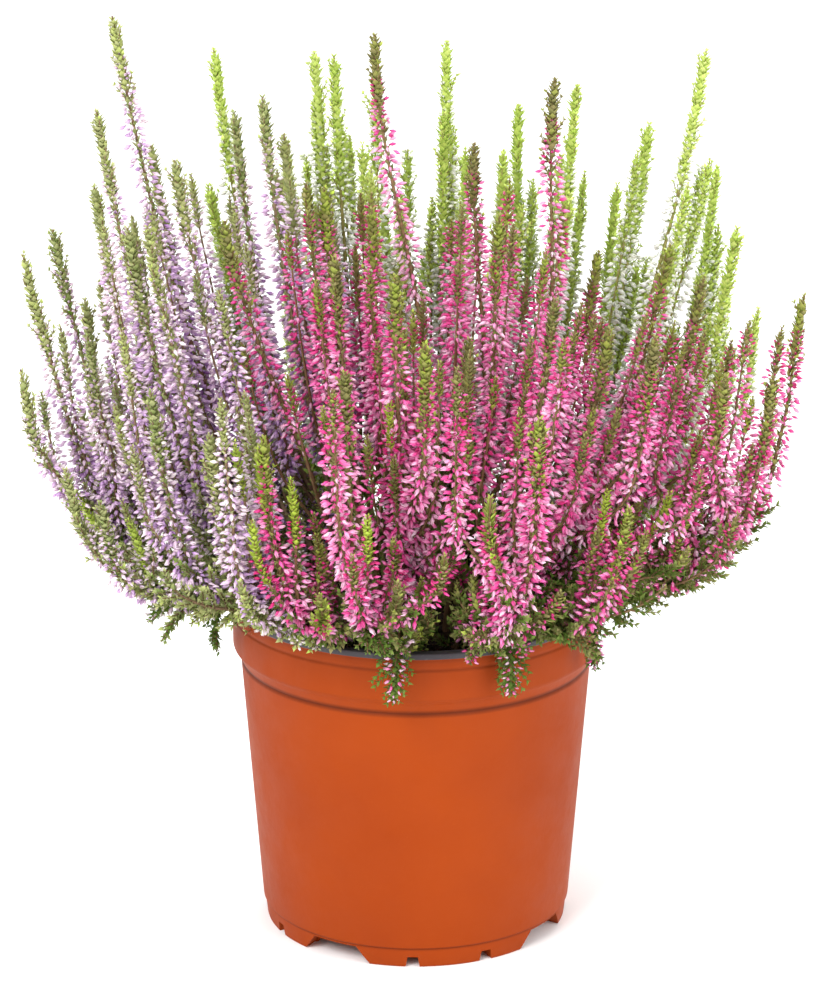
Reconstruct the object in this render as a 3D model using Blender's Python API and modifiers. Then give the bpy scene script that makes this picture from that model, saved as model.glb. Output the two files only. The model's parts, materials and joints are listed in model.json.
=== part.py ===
"""Potted heather: a mauve, a white and a magenta heather grown together in one round nursery pot.

All sizes below are in millimetres. The origin is on the ground under the pot's centre, +Z up, and the
front of the plant faces -Y. Each forked stem is one solid that stands in a hole of its own in the soil.
"""

import math
import random

import bmesh
import bpy
import numpy as np
from mathutils import Vector

MM = 0.001
GAP = 0.3  # between solids that touch

# Pot
POT_SIDES = 48
RIM_RADIUS, RIM_INNER, RIM_TOP = 65.2, 61.3, 120.3
LIP_HEIGHT, LIP_STEP = 1.9, 0.4
COLLAR_RADIUS, COLLAR_CREASE, CREASE_DEPTH, CREASE_HEIGHT = 64.8, 114.3, 0.3, 0.7
STEP_TOP, STEP_LEDGE, STEP_BOTTOM = 102.9, 101.5, 97.5
STEP_LEDGE_RADIUS, STEP_RADIUS = 63.6, 62.0
BASE_RADIUS, BASE_LINE, BASE_LEDGE = 55.0, 7.5, 0.3
WALL, INNER_CORNER, COLLAR_INNER_FOOT = 1.3, 1.5, 2.0
FLOOR_TOP, FLOOR_UNDER = 8.7, 6.9
FOOT_TOP_RADIUS, FOOT_BOTTOM_RADIUS, FOOT_INNER, FOOT_INNER_LEAN = 54.3, 53.6, 47.5, 1.0
FEET, FOOT_CENTRE_ANGLE = 4, 13.0
FOOT_GAP_WIDTHS, FOOT_GAP_TOP = (27.0, 17.4), 6.3
NOTCH_ANGLE, NOTCH_WIDTHS, NOTCH_TOP = 14.2, (4.9, 3.6), 3.9
CUTTER_BELOW, CUTTER_INSIDE, CUTTER_OUTSIDE = 1.0, 1.6, 3.0
DRAIN_HOLES, DRAIN_RADIUS, DRAIN_CIRCLE, DRAIN_SIDES, DRAIN_DEPTH = 6, 3.6, 34.0, 8, 6.0

# Soil
SOIL_TOP = 111.0
SOIL_GAP = GAP + 0.1  # a little more, because the wall has flat sides
HOLE_DEPTH, HOLE_ABOVE, ROOT_COLLAR = 20.0, 3.0, 1.0

# How the bush widens: at each height over the soil, the radius that the inner stems would fan out to
# and the radius of the outer stems, which lie over the rim. It is narrower front to back.
REACH_HEIGHTS = (0.0, 9.0, 13.5, 16.0, 19.0, 25.0, 35.0, 50.0, 80.0, 100.0, 140.0, 215.0)
INNER_RADII = (46.0, 51.0, 54.5, 56.5, 60.0, 66.0, 78.0, 94.0, 114.0, 124.0, 138.0, 156.0)
OUTER_RADII = (46.0, 51.5, 60.0, 74.0, 91.0, 108.0, 121.0, 130.0, 136.0, 138.0, 144.0, 156.0)
OUTER_FROM, OUTER_SPAN = 0.55, 0.4
DEPTH_SHARE, DEPTH_FULL_HEIGHT = 0.8, 50.0
ROOT_REACH, ROOT_SPACING = 48.0, 9.0
ROOT_FADE = 45.0
LEAN_FROM = 0.35

# Stems and spikes. A spike is bare at the soil, then leafy, then in flower, then leafy again to its tip.
SIDES = 4
STEM_RADIUS, CORE_RADIUS, CORE_SHARE = 1.3, 1.7, 0.55
STEM_PITCH, LEAF_PITCH, BLOOM_PITCH, TIP_PITCH = 9.0, 12.5, 9.2, 8.4
LIFT = 2.4  # how much higher than its foot the point of a leaf or flower is
RAGGED = (0.9, 1.1)  # the least and the most that one leaf or flower differs from its neighbours
LAST_RING = 3.8  # the least way from the last ring to the tip
LEAVES_FROM, BLOOM_FROM = 6.0, 30.0
LEAF_RADIUS = 3.9
TIP_POINT, BLOOM_SWELL = 0.35, 25.0
SPRIG_RADIUS, SPRIG_POINT, SPRIG_TAPER = 3.4, 1.5, 6.0
FORK_SHARE, FORK_LOWEST = 0.3, 13.0
FORK_BLEND, FORK_BLEND_SHARE, FORK_BARE = 45.0, 0.8, 2
SAMPLE = 7.0
SEED = 7

# Moving stems apart: the space left between two, how far off two are still compared, and the rounds
CLEAR, NEAR, SETTLE_ROUNDS, SETTLE_STEP = 1.0, 32.0, 90, 0.6
SPREAD_ROUNDS, SPREAD_STEP = 400, 0.4
TIP_HOLD, RISE_SHARE = 0.7, 0.35  # tips hardly move sideways, and stems move little up or down
SOIL_HOLD, RIM_FROM = 2.0, 3.0
RIM_DEPTH, RIM_HALF = 2.0, 2.9

# Each kind's spike: radius over the flowers, radius of the leafy tip and its length
KINDS = {
    "mauve": {"bloom": 4.8, "tip": 2.7, "tip_length": 38.0},
    "white": {"bloom": 4.3, "tip": 3.0, "tip_length": 46.0},
    "magenta": {"bloom": 5.4, "tip": 2.8, "tip_length": 24.0},
}
FLOWER_COLOURS = {"mauve": (0.50, 0.30, 0.66), "white": (0.78, 0.80, 0.66), "magenta": (0.72, 0.07, 0.30)}
TIP_COLOURS = {"mauve": (0.20, 0.26, 0.07), "white": (0.38, 0.56, 0.08), "magenta": (0.26, 0.22, 0.09)}
LEAF_COLOUR = (0.12, 0.22, 0.03)
LEAF, FLOWER, TIP = 0, 1, 2  # the order of the paints on a spray

# Spray by spray, the tips of its spikes: right, back, height over the ground, and lean to the right
MAUVE = (
    ((-103, 5, 325, -6),),
    ((-107, -22, 298, -3),),
    ((-112, 22, 262, 0), (-126, 12, 249, -5)),
    ((-134, -12, 246, -8), (-134, -32, 211, -4), (-114, -30, 155, 0)),
    ((-93, 38, 273, -4),),
    ((-82, -8, 278, -4),),
    ((-96, -40, 262, -2), (-89, -46, 264, -2)),
    ((-63, 22, 288, 0), (-71, 52, 217, 0)),
    ((-52, -4, 299, -3),),
    ((-46, 30, 279, 0), (-49, 42, 263, 0)),
    ((-88, -62, 212, 0), (-84, -74, 153, 0)),
    ((-118, -50, 181, 0), (-106, -58, 172, 0), (-96, -48, 143, 0)),
    ((-68, -78, 202, 0), (-58, -86, 153, 0)),
    ((-130, 14, 169, 0), (-112, 4, 143, 0)),
    ((-102, 68, 209, 0), (-84, 86, 183, 0), (-72, 82, 149, 0)),
    ((-118, 42, 216, 0), (-122, 56, 173, 0), (-104, 34, 145, 0)),
)
WHITE = (
    ((-71, 48, 305, -3),),
    ((-36, 62, 302, -2), (-29, 58, 301, 0)),
    ((-12, 80, 249, -3),),
    ((-5, 36, 253, -2),),
    ((11, 58, 306, -5), (10, 50, 282, -1)),
    ((18, 84, 261, 0), (37, 70, 281, -10)),
    ((31, 44, 270, -8),),
    ((57, 52, 292, -4), (52, 56, 265, 0)),
    ((73, 76, 250, 0),),
    ((83, 58, 276, 2),),
    ((101, 36, 307, 6), (112, 18, 248, 0), (110, 30, 157, 0)),
    ((108, 62, 260, 0), (112, 54, 218, 0), (96, 60, 149, 0)),
    ((-48, 96, 217, 0), (-24, 104, 189, 0), (-40, 92, 149, 0)),
    ((14, 106, 223, 0), (42, 103, 187, 0), (16, 98, 147, 0)),
    ((76, 92, 227, 0), (100, 76, 191, 0), (66, 84, 151, 0)),
)
MAGENTA = (
    ((-14, 2, 319, -20),),
    ((20, 10, 280, -12),),
    ((47, -6, 306, -12),),
    ((-37, -22, 273, -4), (-31, -18, 271, 0)),
    ((-64, -34, 263, -14),),
    ((-15, -12, 262, 0),),
    ((88, 6, 245, 0), (98, -18, 239, 0)),
    ((134, -2, 229, 0), (118, 6, 161, 0)),
    ((121, -34, 209, 0), (104, -46, 212, 0), (106, -30, 145, 0)),
    ((-27, -52, 255, 0),),
    ((-7, -64, 252, 0), (3, -84, 234, 0)),
    ((28, -30, 264, -4), (18, -44, 225, 0)),
    ((46, -58, 242, 0),),
    ((64, 18, 240, 0),),
    ((65, -44, 228, 0), (79, -62, 230, 0), (92, -56, 155, 0)),
    ((-50, -86, 203, 0), (-32, -92, 151, 0)),
    ((-23, -92, 227, 0), (-6, -98, 157, 0)),
    ((40, -96, 212, 0), (24, -107, 189, 0), (48, -84, 149, 0)),
    ((70, -84, 178, 0), (84, -66, 145, 0)),
)
SPRAYS = {"mauve": MAUVE, "white": WHITE, "magenta": MAGENTA}

# Leafy sprigs over the rim: where each stands round the pot (0 is right, 90 is back), and its line
SPRIG_ANGLES = (-96, -64, -32, 4, 52, 98, 148, 196)
SPRIG_LINE = ((56.5, 113), (57.0, 122), (61.5, 128.1), (67.0, 128.5), (71.5, 123), (73.2, 114), (72.6, 105))
SPRIG_SAMPLE = 5.0


def smooth_step(x):
    x = np.clip(x, 0.0, 1.0)
    return x * x * (3 - 2 * x)


def reach(share, height):
    """The radius at a height of the stems that stand at a share of the bush's radius."""
    outer = smooth_step((share - OUTER_FROM) / OUTER_SPAN)
    inner_radius = np.interp(height, REACH_HEIGHTS, INNER_RADII)
    outer_radius = np.interp(height, REACH_HEIGHTS, OUTER_RADII)
    return share * ((1 - outer) * inner_radius + outer * outer_radius)


def depth_share(height):
    return 1 - (1 - DEPTH_SHARE) * smooth_step(np.asarray(height) / DEPTH_FULL_HEIGHT)


def share_of(radius, height):
    """The share of the bush's radius at which a stem reaches this radius at this height."""
    low, high = 0.0, 1.5
    for _ in range(40):
        middle = (low + high) / 2
        if reach(middle, height) < radius:
            low = middle
        else:
            high = middle
    return low


def fan_line(tip, heights):
    """The line on which the bush widens, through one tip. No two such lines cross."""
    x, y, z, lean = tip
    top = z - SOIL_TOP
    side, back = x - lean, y / depth_share(top)
    radius = math.hypot(side, back)
    share = share_of(radius, top)
    radii = reach(share, heights)
    along = smooth_step((heights / top - LEAN_FROM) / (1 - LEAN_FROM))
    return np.column_stack(
        (
            side / radius * radii + lean * along,
            back / radius * radii * depth_share(heights),
            SOIL_TOP + heights,
        )
    )


def even_points(line, spacing):
    """The same line with its points evenly apart."""
    steps = np.linalg.norm(np.diff(line, axis=0), axis=1)
    along = np.concatenate(([0.0], np.cumsum(steps)))
    count = max(4, int(round(along[-1] / spacing)) + 1)
    at = np.linspace(0.0, along[-1], count)
    return np.column_stack([np.interp(at, along, line[:, i]) for i in range(3)])


def spread_roots(roots):
    """Moves the roots apart in the soil, and keeps them inside the pot."""
    roots = roots.copy()
    for _ in range(SPREAD_ROUNDS):
        apart = roots[:, None] - roots[None]
        far = np.linalg.norm(apart, axis=2) + np.eye(len(roots)) * 1e3
        push = np.clip(ROOT_SPACING - far, 0, None) / far
        roots += SPREAD_STEP * (apart * push[:, :, None]).sum(axis=1)
        out = np.linalg.norm(roots, axis=1)
        roots *= np.minimum(1.0, ROOT_REACH / out)[:, None]
    return roots


def rooted_line(tip, heights, shift):
    """The fan line through a tip, with its root shifted in the soil."""
    line = fan_line(tip, heights)
    line[:, :2] += shift * (1 - smooth_step(heights / ROOT_FADE))[:, None]
    return line


def forked_lines(tips, shift):
    """The first tip's line from the soil, and the others' from where they leave the first."""
    lines = []
    for number, tip in enumerate(tips):
        top = tip[2] - SOIL_TOP
        heights = np.linspace(0.0, top, 60)
        line = rooted_line(tip, heights, shift)
        if number:
            fork = max(FORK_SHARE * top, FORK_LOWEST)
            blend = min(FORK_BLEND, FORK_BLEND_SHARE * (top - fork))
            main = rooted_line(tips[0], heights, shift)
            own = smooth_step((heights - fork) / blend)[:, None]
            line = (main + (line - main) * own)[heights >= fork]
        lines.append(line)
    return lines


def spray_lines():
    """Every spray as a dict: its name, kind and the lines of its spikes, from the soil to the tips."""
    sprays = []
    for kind, members in SPRAYS.items():
        for number, tips in enumerate(members, 1):
            sprays.append({"name": f"{kind}_spray_{number:02d}", "kind": kind, "tips": tips})
    starts = np.array([fan_line(spray["tips"][0], np.array([0.0]))[0, :2] for spray in sprays])
    for spray, start, root in zip(sprays, starts, spread_roots(starts)):
        spray["lines"] = [even_points(line, SAMPLE) for line in forked_lines(spray["tips"], root - start)]
    for number, angle in enumerate(SPRIG_ANGLES, 1):
        turn = math.radians(angle)
        line = np.array([(r * math.cos(turn), r * math.sin(turn), z) for r, z in SPRIG_LINE])
        lines = [even_points(line, SPRIG_SAMPLE)]
        sprays.append({"name": f"leafy_sprig_{number:02d}", "kind": "sprig", "lines": lines})
    return sprays


def zone_radius(kind, height, to_tip):
    """How far leaves and flowers reach from the stem, by height over the soil and way to the tip."""
    if kind == "sprig":
        return SPRIG_POINT + (SPRIG_RADIUS - SPRIG_POINT) * np.clip(to_tip / SPRIG_TAPER, 0, 1)
    style = KINDS[kind]
    tip = style["tip"] * np.clip(TIP_POINT + to_tip / style["tip_length"], 0, 1)
    swell = np.clip((to_tip - style["tip_length"]) / BLOOM_SWELL, 0, 1)
    bloom = style["tip"] + (style["bloom"] - style["tip"]) * swell
    radius = np.where(to_tip < style["tip_length"], tip, bloom)
    radius = np.where(height < BLOOM_FROM, np.minimum(radius, LEAF_RADIUS), radius)
    return np.where(height < LEAVES_FROM, STEM_RADIUS, radius)


def off_the_pot(points, radii):
    """Moves points out of the pot's rim and wall, round the rim's middle."""
    flat = np.hypot(points[:, 0], points[:, 1])
    middle_r, middle_z = (RIM_RADIUS + RIM_INNER) / 2, RIM_TOP - RIM_DEPTH
    wanted = RIM_HALF + radii + CLEAR / 2
    dr, dz = flat - middle_r, points[:, 2] - middle_z
    away = np.hypot(dr, dz) + 1e-9
    lack = np.clip(wanted - away, 0, None)
    dr, dz = dr * (1 + lack / away), dz * (1 + lack / away)
    beside = points[:, 2] < RIM_TOP
    dr = np.where(beside & (dr < 0), np.minimum(dr, -wanted), dr)
    dr = np.where(beside & (dr > 0), np.maximum(dr, wanted), dr)
    scale = (middle_r + dr) / np.maximum(flat, 1e-9)
    points[:, 0] *= scale
    points[:, 1] *= scale
    points[:, 2] = middle_z + dz


def stacked(sprays):
    """All points of all lines in one table, with each point's radius, spray and share of its line."""
    places, radii, owner, share, first = [], [], [], [], []
    for index, spray in enumerate(sprays):
        for line in spray["lines"]:
            steps = np.linalg.norm(np.diff(line, axis=0), axis=1)
            to_tip = np.concatenate((np.cumsum(steps[::-1])[::-1], [0.0]))
            first.append(len(places))
            places.extend(line)
            radii.extend(zone_radius(spray["kind"], line[:, 2] - SOIL_TOP, to_tip))
            owner.extend([index] * len(line))
            share.extend(np.linspace(0, 1, len(line)))
    return np.array(places), np.array(radii), np.array(owner), np.array(share), first


def eased(moved, first):
    """Smooths the moves along each line, and leaves its two ends."""
    ends = np.array(first[1:] + [len(moved)]) - 1
    around = moved.copy()
    around[1:-1] = 0.5 * moved[1:-1] + 0.25 * (moved[:-2] + moved[2:])
    around[first] = moved[first]
    around[ends] = moved[ends]
    return around


def settle(sprays):
    """Moves the lines apart where two sprays would touch, mostly sideways and to the back."""
    start, radii, owner, share, first = stacked(sprays)
    over_soil = (start[:, 2] > SOIL_TOP + SOIL_HOLD).astype(float)[:, None]
    ways = (1 - TIP_HOLD * share**2, np.ones(len(share)), RISE_SHARE * (1 - share))
    free = over_soil * np.column_stack(ways)
    high = start[:, 2] > SOIL_TOP + RIM_FROM
    a, b = np.triu_indices(len(start), 1)
    near = (owner[a] != owner[b]) & (np.linalg.norm(start[a] - start[b], axis=1) < NEAR)
    a, b = a[near], b[near]
    moved = np.zeros_like(start)
    for _ in range(SETTLE_ROUNDS):
        points = start + moved
        apart = points[a] - points[b]
        far = np.linalg.norm(apart, axis=1) + 1e-6
        lack = np.clip(radii[a] + radii[b] + CLEAR - far, 0, None) / far
        push = 0.5 * apart * lack[:, None]
        step = np.zeros_like(start)
        np.add.at(step, a, push)
        np.add.at(step, b, -push)
        points = points + SETTLE_STEP * step * free
        over_rim = points[high]
        off_the_pot(over_rim, radii[high])
        points[high] = over_rim
        moved = eased(points - start, first)
    take_back(sprays, start + moved)


def take_back(sprays, points):
    """Puts the moved points in the sprays' lines, and each fork's foot on its stem."""
    at = 0
    for spray in sprays:
        for number, line in enumerate(spray["lines"]):
            spray["lines"][number] = points[at : at + len(line)]
            at += len(line)
        main = spray["lines"][0]
        for line in spray["lines"][1:]:
            line[0] = main[np.linalg.norm(main - line[0], axis=1).argmin()]


def frames(line):
    """Side directions along a line, turned as little as possible from one point to the next."""
    ways = np.gradient(line, axis=0)
    ways /= np.linalg.norm(ways, axis=1)[:, None]
    side = np.array([1.0, 0.0, 0.0])
    out = []
    for way in ways:
        side = side - way * (side @ way)
        side /= np.linalg.norm(side)
        out.append((side, np.cross(way, side), way))
    return out


def ring_pitch(kind, height, to_tip):
    """The way from one ring of leaves or flowers to the next."""
    if kind != "sprig" and height < LEAVES_FROM:
        return STEM_PITCH
    if kind == "sprig" or to_tip < KINDS[kind]["tip_length"]:
        return TIP_PITCH
    return BLOOM_PITCH if height > BLOOM_FROM else LEAF_PITCH


def zone(kind, height, to_tip):
    """Which paint a ring has."""
    if kind == "sprig" or height < BLOOM_FROM:
        return LEAF
    return TIP if to_tip < KINDS[kind]["tip_length"] else FLOWER


def ring_places(kind, line):
    """Each ring's centre, radius and paint, from the spike's foot on."""
    steps = np.linalg.norm(np.diff(line, axis=0), axis=1)
    along = np.concatenate(([0.0], np.cumsum(steps)))
    length, at, rings = along[-1], 0.0, []
    while at <= length - LAST_RING:
        centre = np.array([np.interp(at, along, line[:, i]) for i in range(3)])
        height, to_tip = centre[2] - SOIL_TOP, length - at
        rings.append((centre, float(zone_radius(kind, height, to_tip)), zone(kind, height, to_tip)))
        at += ring_pitch(kind, height, to_tip)
    return rings


def ring_points(ring, number, frame, draw):
    """One ring: high and low corners in turn, or four low ones where the stem is bare."""
    centre, radius, _ = ring
    side, across, way = frame
    bare = radius <= STEM_RADIUS
    low = STEM_RADIUS if bare else min(CORE_RADIUS, CORE_SHARE * radius)
    points = []
    for corner in range(SIDES):
        turn = math.tau * corner / SIDES
        out, rise = low, 0.0
        if not bare and (number + corner) % 2 == 0:
            out, rise = radius * draw.uniform(*RAGGED), LIFT
        points.append(centre + out * (math.cos(turn) * side + math.sin(turn) * across) + rise * way)
    return points


def spike_mesh(kind, line, draw, rooted):
    """Points, triangles and paints of one spike. Rings round the stem alternate high and low corners, so
    that each high corner is a leaf or a flower with its four sides down in the stem."""
    rings = ring_places(kind, line)
    if rooted:
        foot = rings[0][0]
        rings[:1] = [(foot + (0, 0, rise), STEM_RADIUS, LEAF) for rise in (-HOLE_DEPTH, ROOT_COLLAR)]
    else:
        rings[:FORK_BARE] = [(ring[0], STEM_RADIUS, ring[2]) for ring in rings[:FORK_BARE]]
    sides = frames(np.array([ring[0] for ring in rings] + [line[-1]]))
    if rooted:
        upright = tuple(np.eye(3))
        sides[0] = sides[1] = upright
    points = []
    for number, ring in enumerate(rings):
        points += ring_points(ring, number, sides[number], draw)
    faces, paints = [tuple(range(SIDES - 1, -1, -1))], [LEAF]
    for number, ring in enumerate(rings[:-1]):
        paints += [ring[2]] * 2 * SIDES
        for corner in range(SIDES):
            a, b = number * SIDES + corner, number * SIDES + (corner + 1) % SIDES
            c, d = b + SIDES, a + SIDES
            odd = (number + corner) % 2
            faces += [(a, b, c), (a, c, d)] if odd else [(a, b, d), (b, c, d)]
    last, top = len(points) - SIDES, len(points)
    points.append(line[-1])
    faces += [(last + corner, last + (corner + 1) % SIDES, top) for corner in range(SIDES)]
    paints += [rings[-1][2]] * SIDES
    return points, faces, paints


def paint(name, colour, roughness):
    """A plain painted material."""
    material = bpy.data.materials.new(name)
    material.use_nodes = True
    shader = material.node_tree.nodes["Principled BSDF"]
    shader.inputs["Base Color"].default_value = (*colour, 1.0)
    shader.inputs["Roughness"].default_value = roughness
    shader.inputs["Metallic"].default_value = 0.0
    return material


def new_collection(name):
    collection = bpy.data.collections.new(name)
    bpy.context.scene.collection.children.link(collection)
    return collection


def mesh_object(name, points, faces, collection):
    """A mesh object from points in millimetres."""
    mesh = bpy.data.meshes.new(name)
    mesh.from_pydata([Vector(point) * MM for point in points], [], faces)
    mesh.validate()
    item = bpy.data.objects.new(name, mesh)
    collection.objects.link(item)
    return item


def turned(name, profile, sides, collection):
    """A turned shape from a profile of radius and height, down its outer side."""
    edges = [(i, i + 1) for i in range(len(profile) - 1)]
    mesh = bpy.data.meshes.new(name)
    mesh.from_pydata([Vector((r, 0, z)) * MM for r, z in profile], edges, [])
    item = bpy.data.objects.new(name, mesh)
    collection.objects.link(item)
    screw = item.modifiers.new("turn", "SCREW")
    screw.steps = screw.render_steps = sides
    screw.use_merge_vertices = True
    screw.merge_threshold = 1e-5
    screw.use_smooth_shade = False
    return item


def cut(item, cutters):
    boolean = item.modifiers.new("cut", "BOOLEAN")
    boolean.operation = "DIFFERENCE"
    boolean.operand_type = "COLLECTION"
    boolean.collection = cutters


def apply_modifiers(item):
    """Keeps the object's evaluated shape as its mesh."""
    seen = item.evaluated_get(bpy.context.evaluated_depsgraph_get())
    mesh = bpy.data.meshes.new_from_object(seen)
    item.modifiers.clear()
    item.data = mesh


def hide_cutters(cutters):
    for item in cutters.objects:
        item.hide_render = True
        item.display_type = "WIRE"


def pot_profile():
    """From the middle of the floor up the inside, over the rim and down the outside to the feet."""
    inner_step = STEP_RADIUS - WALL
    inner_base = BASE_RADIUS - WALL
    return (
        (0.0, FLOOR_TOP),
        (inner_base - INNER_CORNER, FLOOR_TOP),
        (inner_base, FLOOR_TOP + INNER_CORNER),
        (inner_step, STEP_BOTTOM),
        (RIM_INNER, STEP_TOP + COLLAR_INNER_FOOT),
        (RIM_INNER, RIM_TOP),
        (RIM_RADIUS, RIM_TOP),
        (RIM_RADIUS, RIM_TOP - LIP_HEIGHT),
        (COLLAR_RADIUS, RIM_TOP - LIP_HEIGHT - LIP_STEP),
        (COLLAR_RADIUS - CREASE_DEPTH, COLLAR_CREASE),
        (COLLAR_RADIUS, COLLAR_CREASE - CREASE_HEIGHT),
        (COLLAR_RADIUS, STEP_TOP),
        (STEP_LEDGE_RADIUS, STEP_LEDGE),
        (STEP_RADIUS, STEP_BOTTOM),
        (BASE_RADIUS, BASE_LINE),
        (FOOT_TOP_RADIUS, BASE_LINE - BASE_LEDGE),
        (FOOT_TOP_RADIUS, FOOT_GAP_TOP),
        (FOOT_BOTTOM_RADIUS, 0.0),
        (FOOT_INNER, 0.0),
        (FOOT_INNER - FOOT_INNER_LEAN, FLOOR_UNDER),
        (0.0, FLOOR_UNDER),
    )


def radial_block(name, angle, widths, top, collection):
    """A cutter through the foot ring, with its widths at the ground and at its top."""
    turn = math.radians(angle)
    out = np.array([math.cos(turn), math.sin(turn), 0.0])
    side = np.array([-math.sin(turn), math.cos(turn), 0.0])
    below = widths[0] + (widths[0] - widths[1]) * CUTTER_BELOW / top
    points = []
    for reach_out in (FOOT_INNER - CUTTER_INSIDE, BASE_RADIUS + CUTTER_OUTSIDE):
        for width, height in ((below, -CUTTER_BELOW), (widths[1], top)):
            for sign in (-1, 1):
                points.append(out * reach_out + side * sign * width / 2 + np.array([0, 0, height]))
    quads = ((0, 1, 3, 2), (4, 6, 7, 5), (0, 4, 5, 1), (2, 3, 7, 6), (0, 2, 6, 4), (1, 5, 7, 3))
    item = mesh_object(name, points, quads, collection)
    shape = bmesh.new()
    shape.from_mesh(item.data)
    bmesh.ops.recalc_face_normals(shape, faces=shape.faces)
    shape.to_mesh(item.data)
    shape.free()
    return item


def drain_cutter(name, x, y, collection):
    shape = bmesh.new()
    bmesh.ops.create_cone(
        shape,
        cap_ends=True,
        segments=DRAIN_SIDES,
        radius1=DRAIN_RADIUS * MM,
        radius2=DRAIN_RADIUS * MM,
        depth=DRAIN_DEPTH * MM,
    )
    mesh = bpy.data.meshes.new(name)
    shape.to_mesh(mesh)
    shape.free()
    item = bpy.data.objects.new(name, mesh)
    item.location = Vector((x, y, (FLOOR_TOP + FLOOR_UNDER) / 2)) * MM
    collection.objects.link(item)


def make_pot(parts):
    pot = turned("pot", pot_profile(), POT_SIDES, parts)
    cutters = new_collection("pot_cutters")
    for foot in range(FEET):
        middle = FOOT_CENTRE_ANGLE - 90 + foot * 360 / FEET
        radial_block(f"gap_{foot}", middle + 180 / FEET, FOOT_GAP_WIDTHS, FOOT_GAP_TOP, cutters)
        for side in (-1, 1):
            angle = middle + side * NOTCH_ANGLE
            radial_block(f"notch_{foot}_{side}", angle, NOTCH_WIDTHS, NOTCH_TOP, cutters)
    drain_cutter("drain_middle", 0, 0, cutters)
    for hole in range(DRAIN_HOLES):
        turn = math.tau * hole / DRAIN_HOLES
        drain_cutter(f"drain_{hole}", DRAIN_CIRCLE * math.cos(turn), DRAIN_CIRCLE * math.sin(turn), cutters)
    hide_cutters(cutters)
    cut(pot, cutters)
    apply_modifiers(pot)
    pot.data.materials.clear()
    pot.data.materials.append(paint("pot_orange", (0.55, 0.11, 0.02), 0.42))
    pot.data.materials.append(paint("pot_inside", (0.06, 0.06, 0.065), 0.5))
    for face in pot.data.polygons:
        centre = face.center / MM
        outwards = face.normal.x * centre.x + face.normal.y * centre.y
        on_lip = centre.z > RIM_TOP - LIP_HEIGHT
        face.material_index = 1 if on_lip or (outwards < 0 and centre.z > FLOOR_TOP) else 0
    return pot


def stem_hole(name, root, collection):
    """The plain hole that a stem stands in: the stem's own section, wider by the gap."""
    reach_out = STEM_RADIUS + GAP * math.sqrt(2)
    points = []
    for z in (SOIL_TOP - HOLE_DEPTH - GAP, SOIL_TOP + HOLE_ABOVE):
        for corner in range(SIDES):
            turn = math.tau * corner / SIDES
            points.append((root[0] + reach_out * math.cos(turn), root[1] + reach_out * math.sin(turn), z))
    quads = [(3, 2, 1, 0), (4, 5, 6, 7)] + [(i, (i + 1) % 4, (i + 1) % 4 + 4, i + 4) for i in range(4)]
    mesh_object(name, points, quads, collection)


def make_soil(parts, sprays):
    collar = RIM_INNER - SOIL_GAP
    wall = STEP_RADIUS - WALL - SOIL_GAP
    base = BASE_RADIUS - WALL - SOIL_GAP
    profile = (
        (0.0, SOIL_TOP),
        (collar, SOIL_TOP),
        (collar, STEP_TOP + COLLAR_INNER_FOOT),
        (wall, STEP_BOTTOM),
        (base, FLOOR_TOP + INNER_CORNER),
        (base - INNER_CORNER, FLOOR_TOP + GAP),
        (0.0, FLOOR_TOP + GAP),
    )
    soil = turned("soil", profile, POT_SIDES, parts)
    cutters = new_collection("soil_cutters")
    for spray in sprays:
        stem_hole(f"hole_{spray['name']}", spray["lines"][0][0], cutters)
    hide_cutters(cutters)
    cut(soil, cutters)
    soil.data.materials.append(paint("soil_brown", (0.045, 0.028, 0.018), 0.95))
    return soil


def shells(shape):
    """The connected shells of a mesh, as lists of points."""
    found, seen = [], set()
    for start in shape.verts:
        if start in seen:
            continue
        seen.add(start)
        shell, reached = [], [start]
        while reached:
            point = reached.pop()
            shell.append(point)
            for edge in point.link_edges:
                other = edge.other_vert(point)
                if other not in seen:
                    seen.add(other)
                    reached.append(other)
        found.append(shell)
    return found


def keep_outer_shell(item):
    """Fills the small hollows that close up between a stem and its fork."""
    shape = bmesh.new()
    shape.from_mesh(item.data)
    for shell in sorted(shells(shape), key=len)[:-1]:
        bmesh.ops.delete(shape, geom=shell, context="VERTS")
    shape.to_mesh(item.data)
    shape.free()


def spike_object(name, shape, materials, collection):
    """A spike as an object, painted by zone."""
    points, faces, paints = shape
    item = mesh_object(name, points, faces, collection)
    for material in materials:
        item.data.materials.append(material)
    item.data.polygons.foreach_set("material_index", paints)
    return item


def make_spray(parts, spray, materials):
    """One forked stem: its spikes joined in one solid."""
    kind = spray["kind"]
    draw = random.Random(f"{SEED} {spray['name']}")
    shape = spike_mesh(kind, spray["lines"][0], draw, True)
    item = spike_object(spray["name"], shape, materials, parts)
    if len(spray["lines"]) > 1:
        forks = new_collection(f"forks_{spray['name']}")
        for number, line in enumerate(spray["lines"][1:], 1):
            shape = spike_mesh(kind, line, draw, False)
            spike_object(f"fork_{number}_{spray['name']}", shape, materials, forks)
        union = item.modifiers.new("forks", "BOOLEAN")
        union.operation = "UNION"
        union.operand_type = "COLLECTION"
        union.collection = forks
        apply_modifiers(item)
        for fork in list(forks.objects):
            bpy.data.objects.remove(fork)
        bpy.data.collections.remove(forks)
        keep_outer_shell(item)


def main():
    for item in list(bpy.data.objects):
        bpy.data.objects.remove(item)
    parts = new_collection("potted_heather")
    sprays = spray_lines()
    settle(sprays)
    make_pot(parts)
    make_soil(parts, sprays)
    leaves = paint("green_leaves", LEAF_COLOUR, 0.6)
    paints = {"sprig": (leaves,)}
    for kind in KINDS:
        flowers = paint(f"{kind}_flowers", FLOWER_COLOURS[kind], 0.6)
        tips = paint(f"{kind}_tips", TIP_COLOURS[kind], 0.6)
        paints[kind] = (leaves, flowers, tips)
    for spray in sprays:
        make_spray(parts, spray, paints[spray["kind"]])


main()
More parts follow.
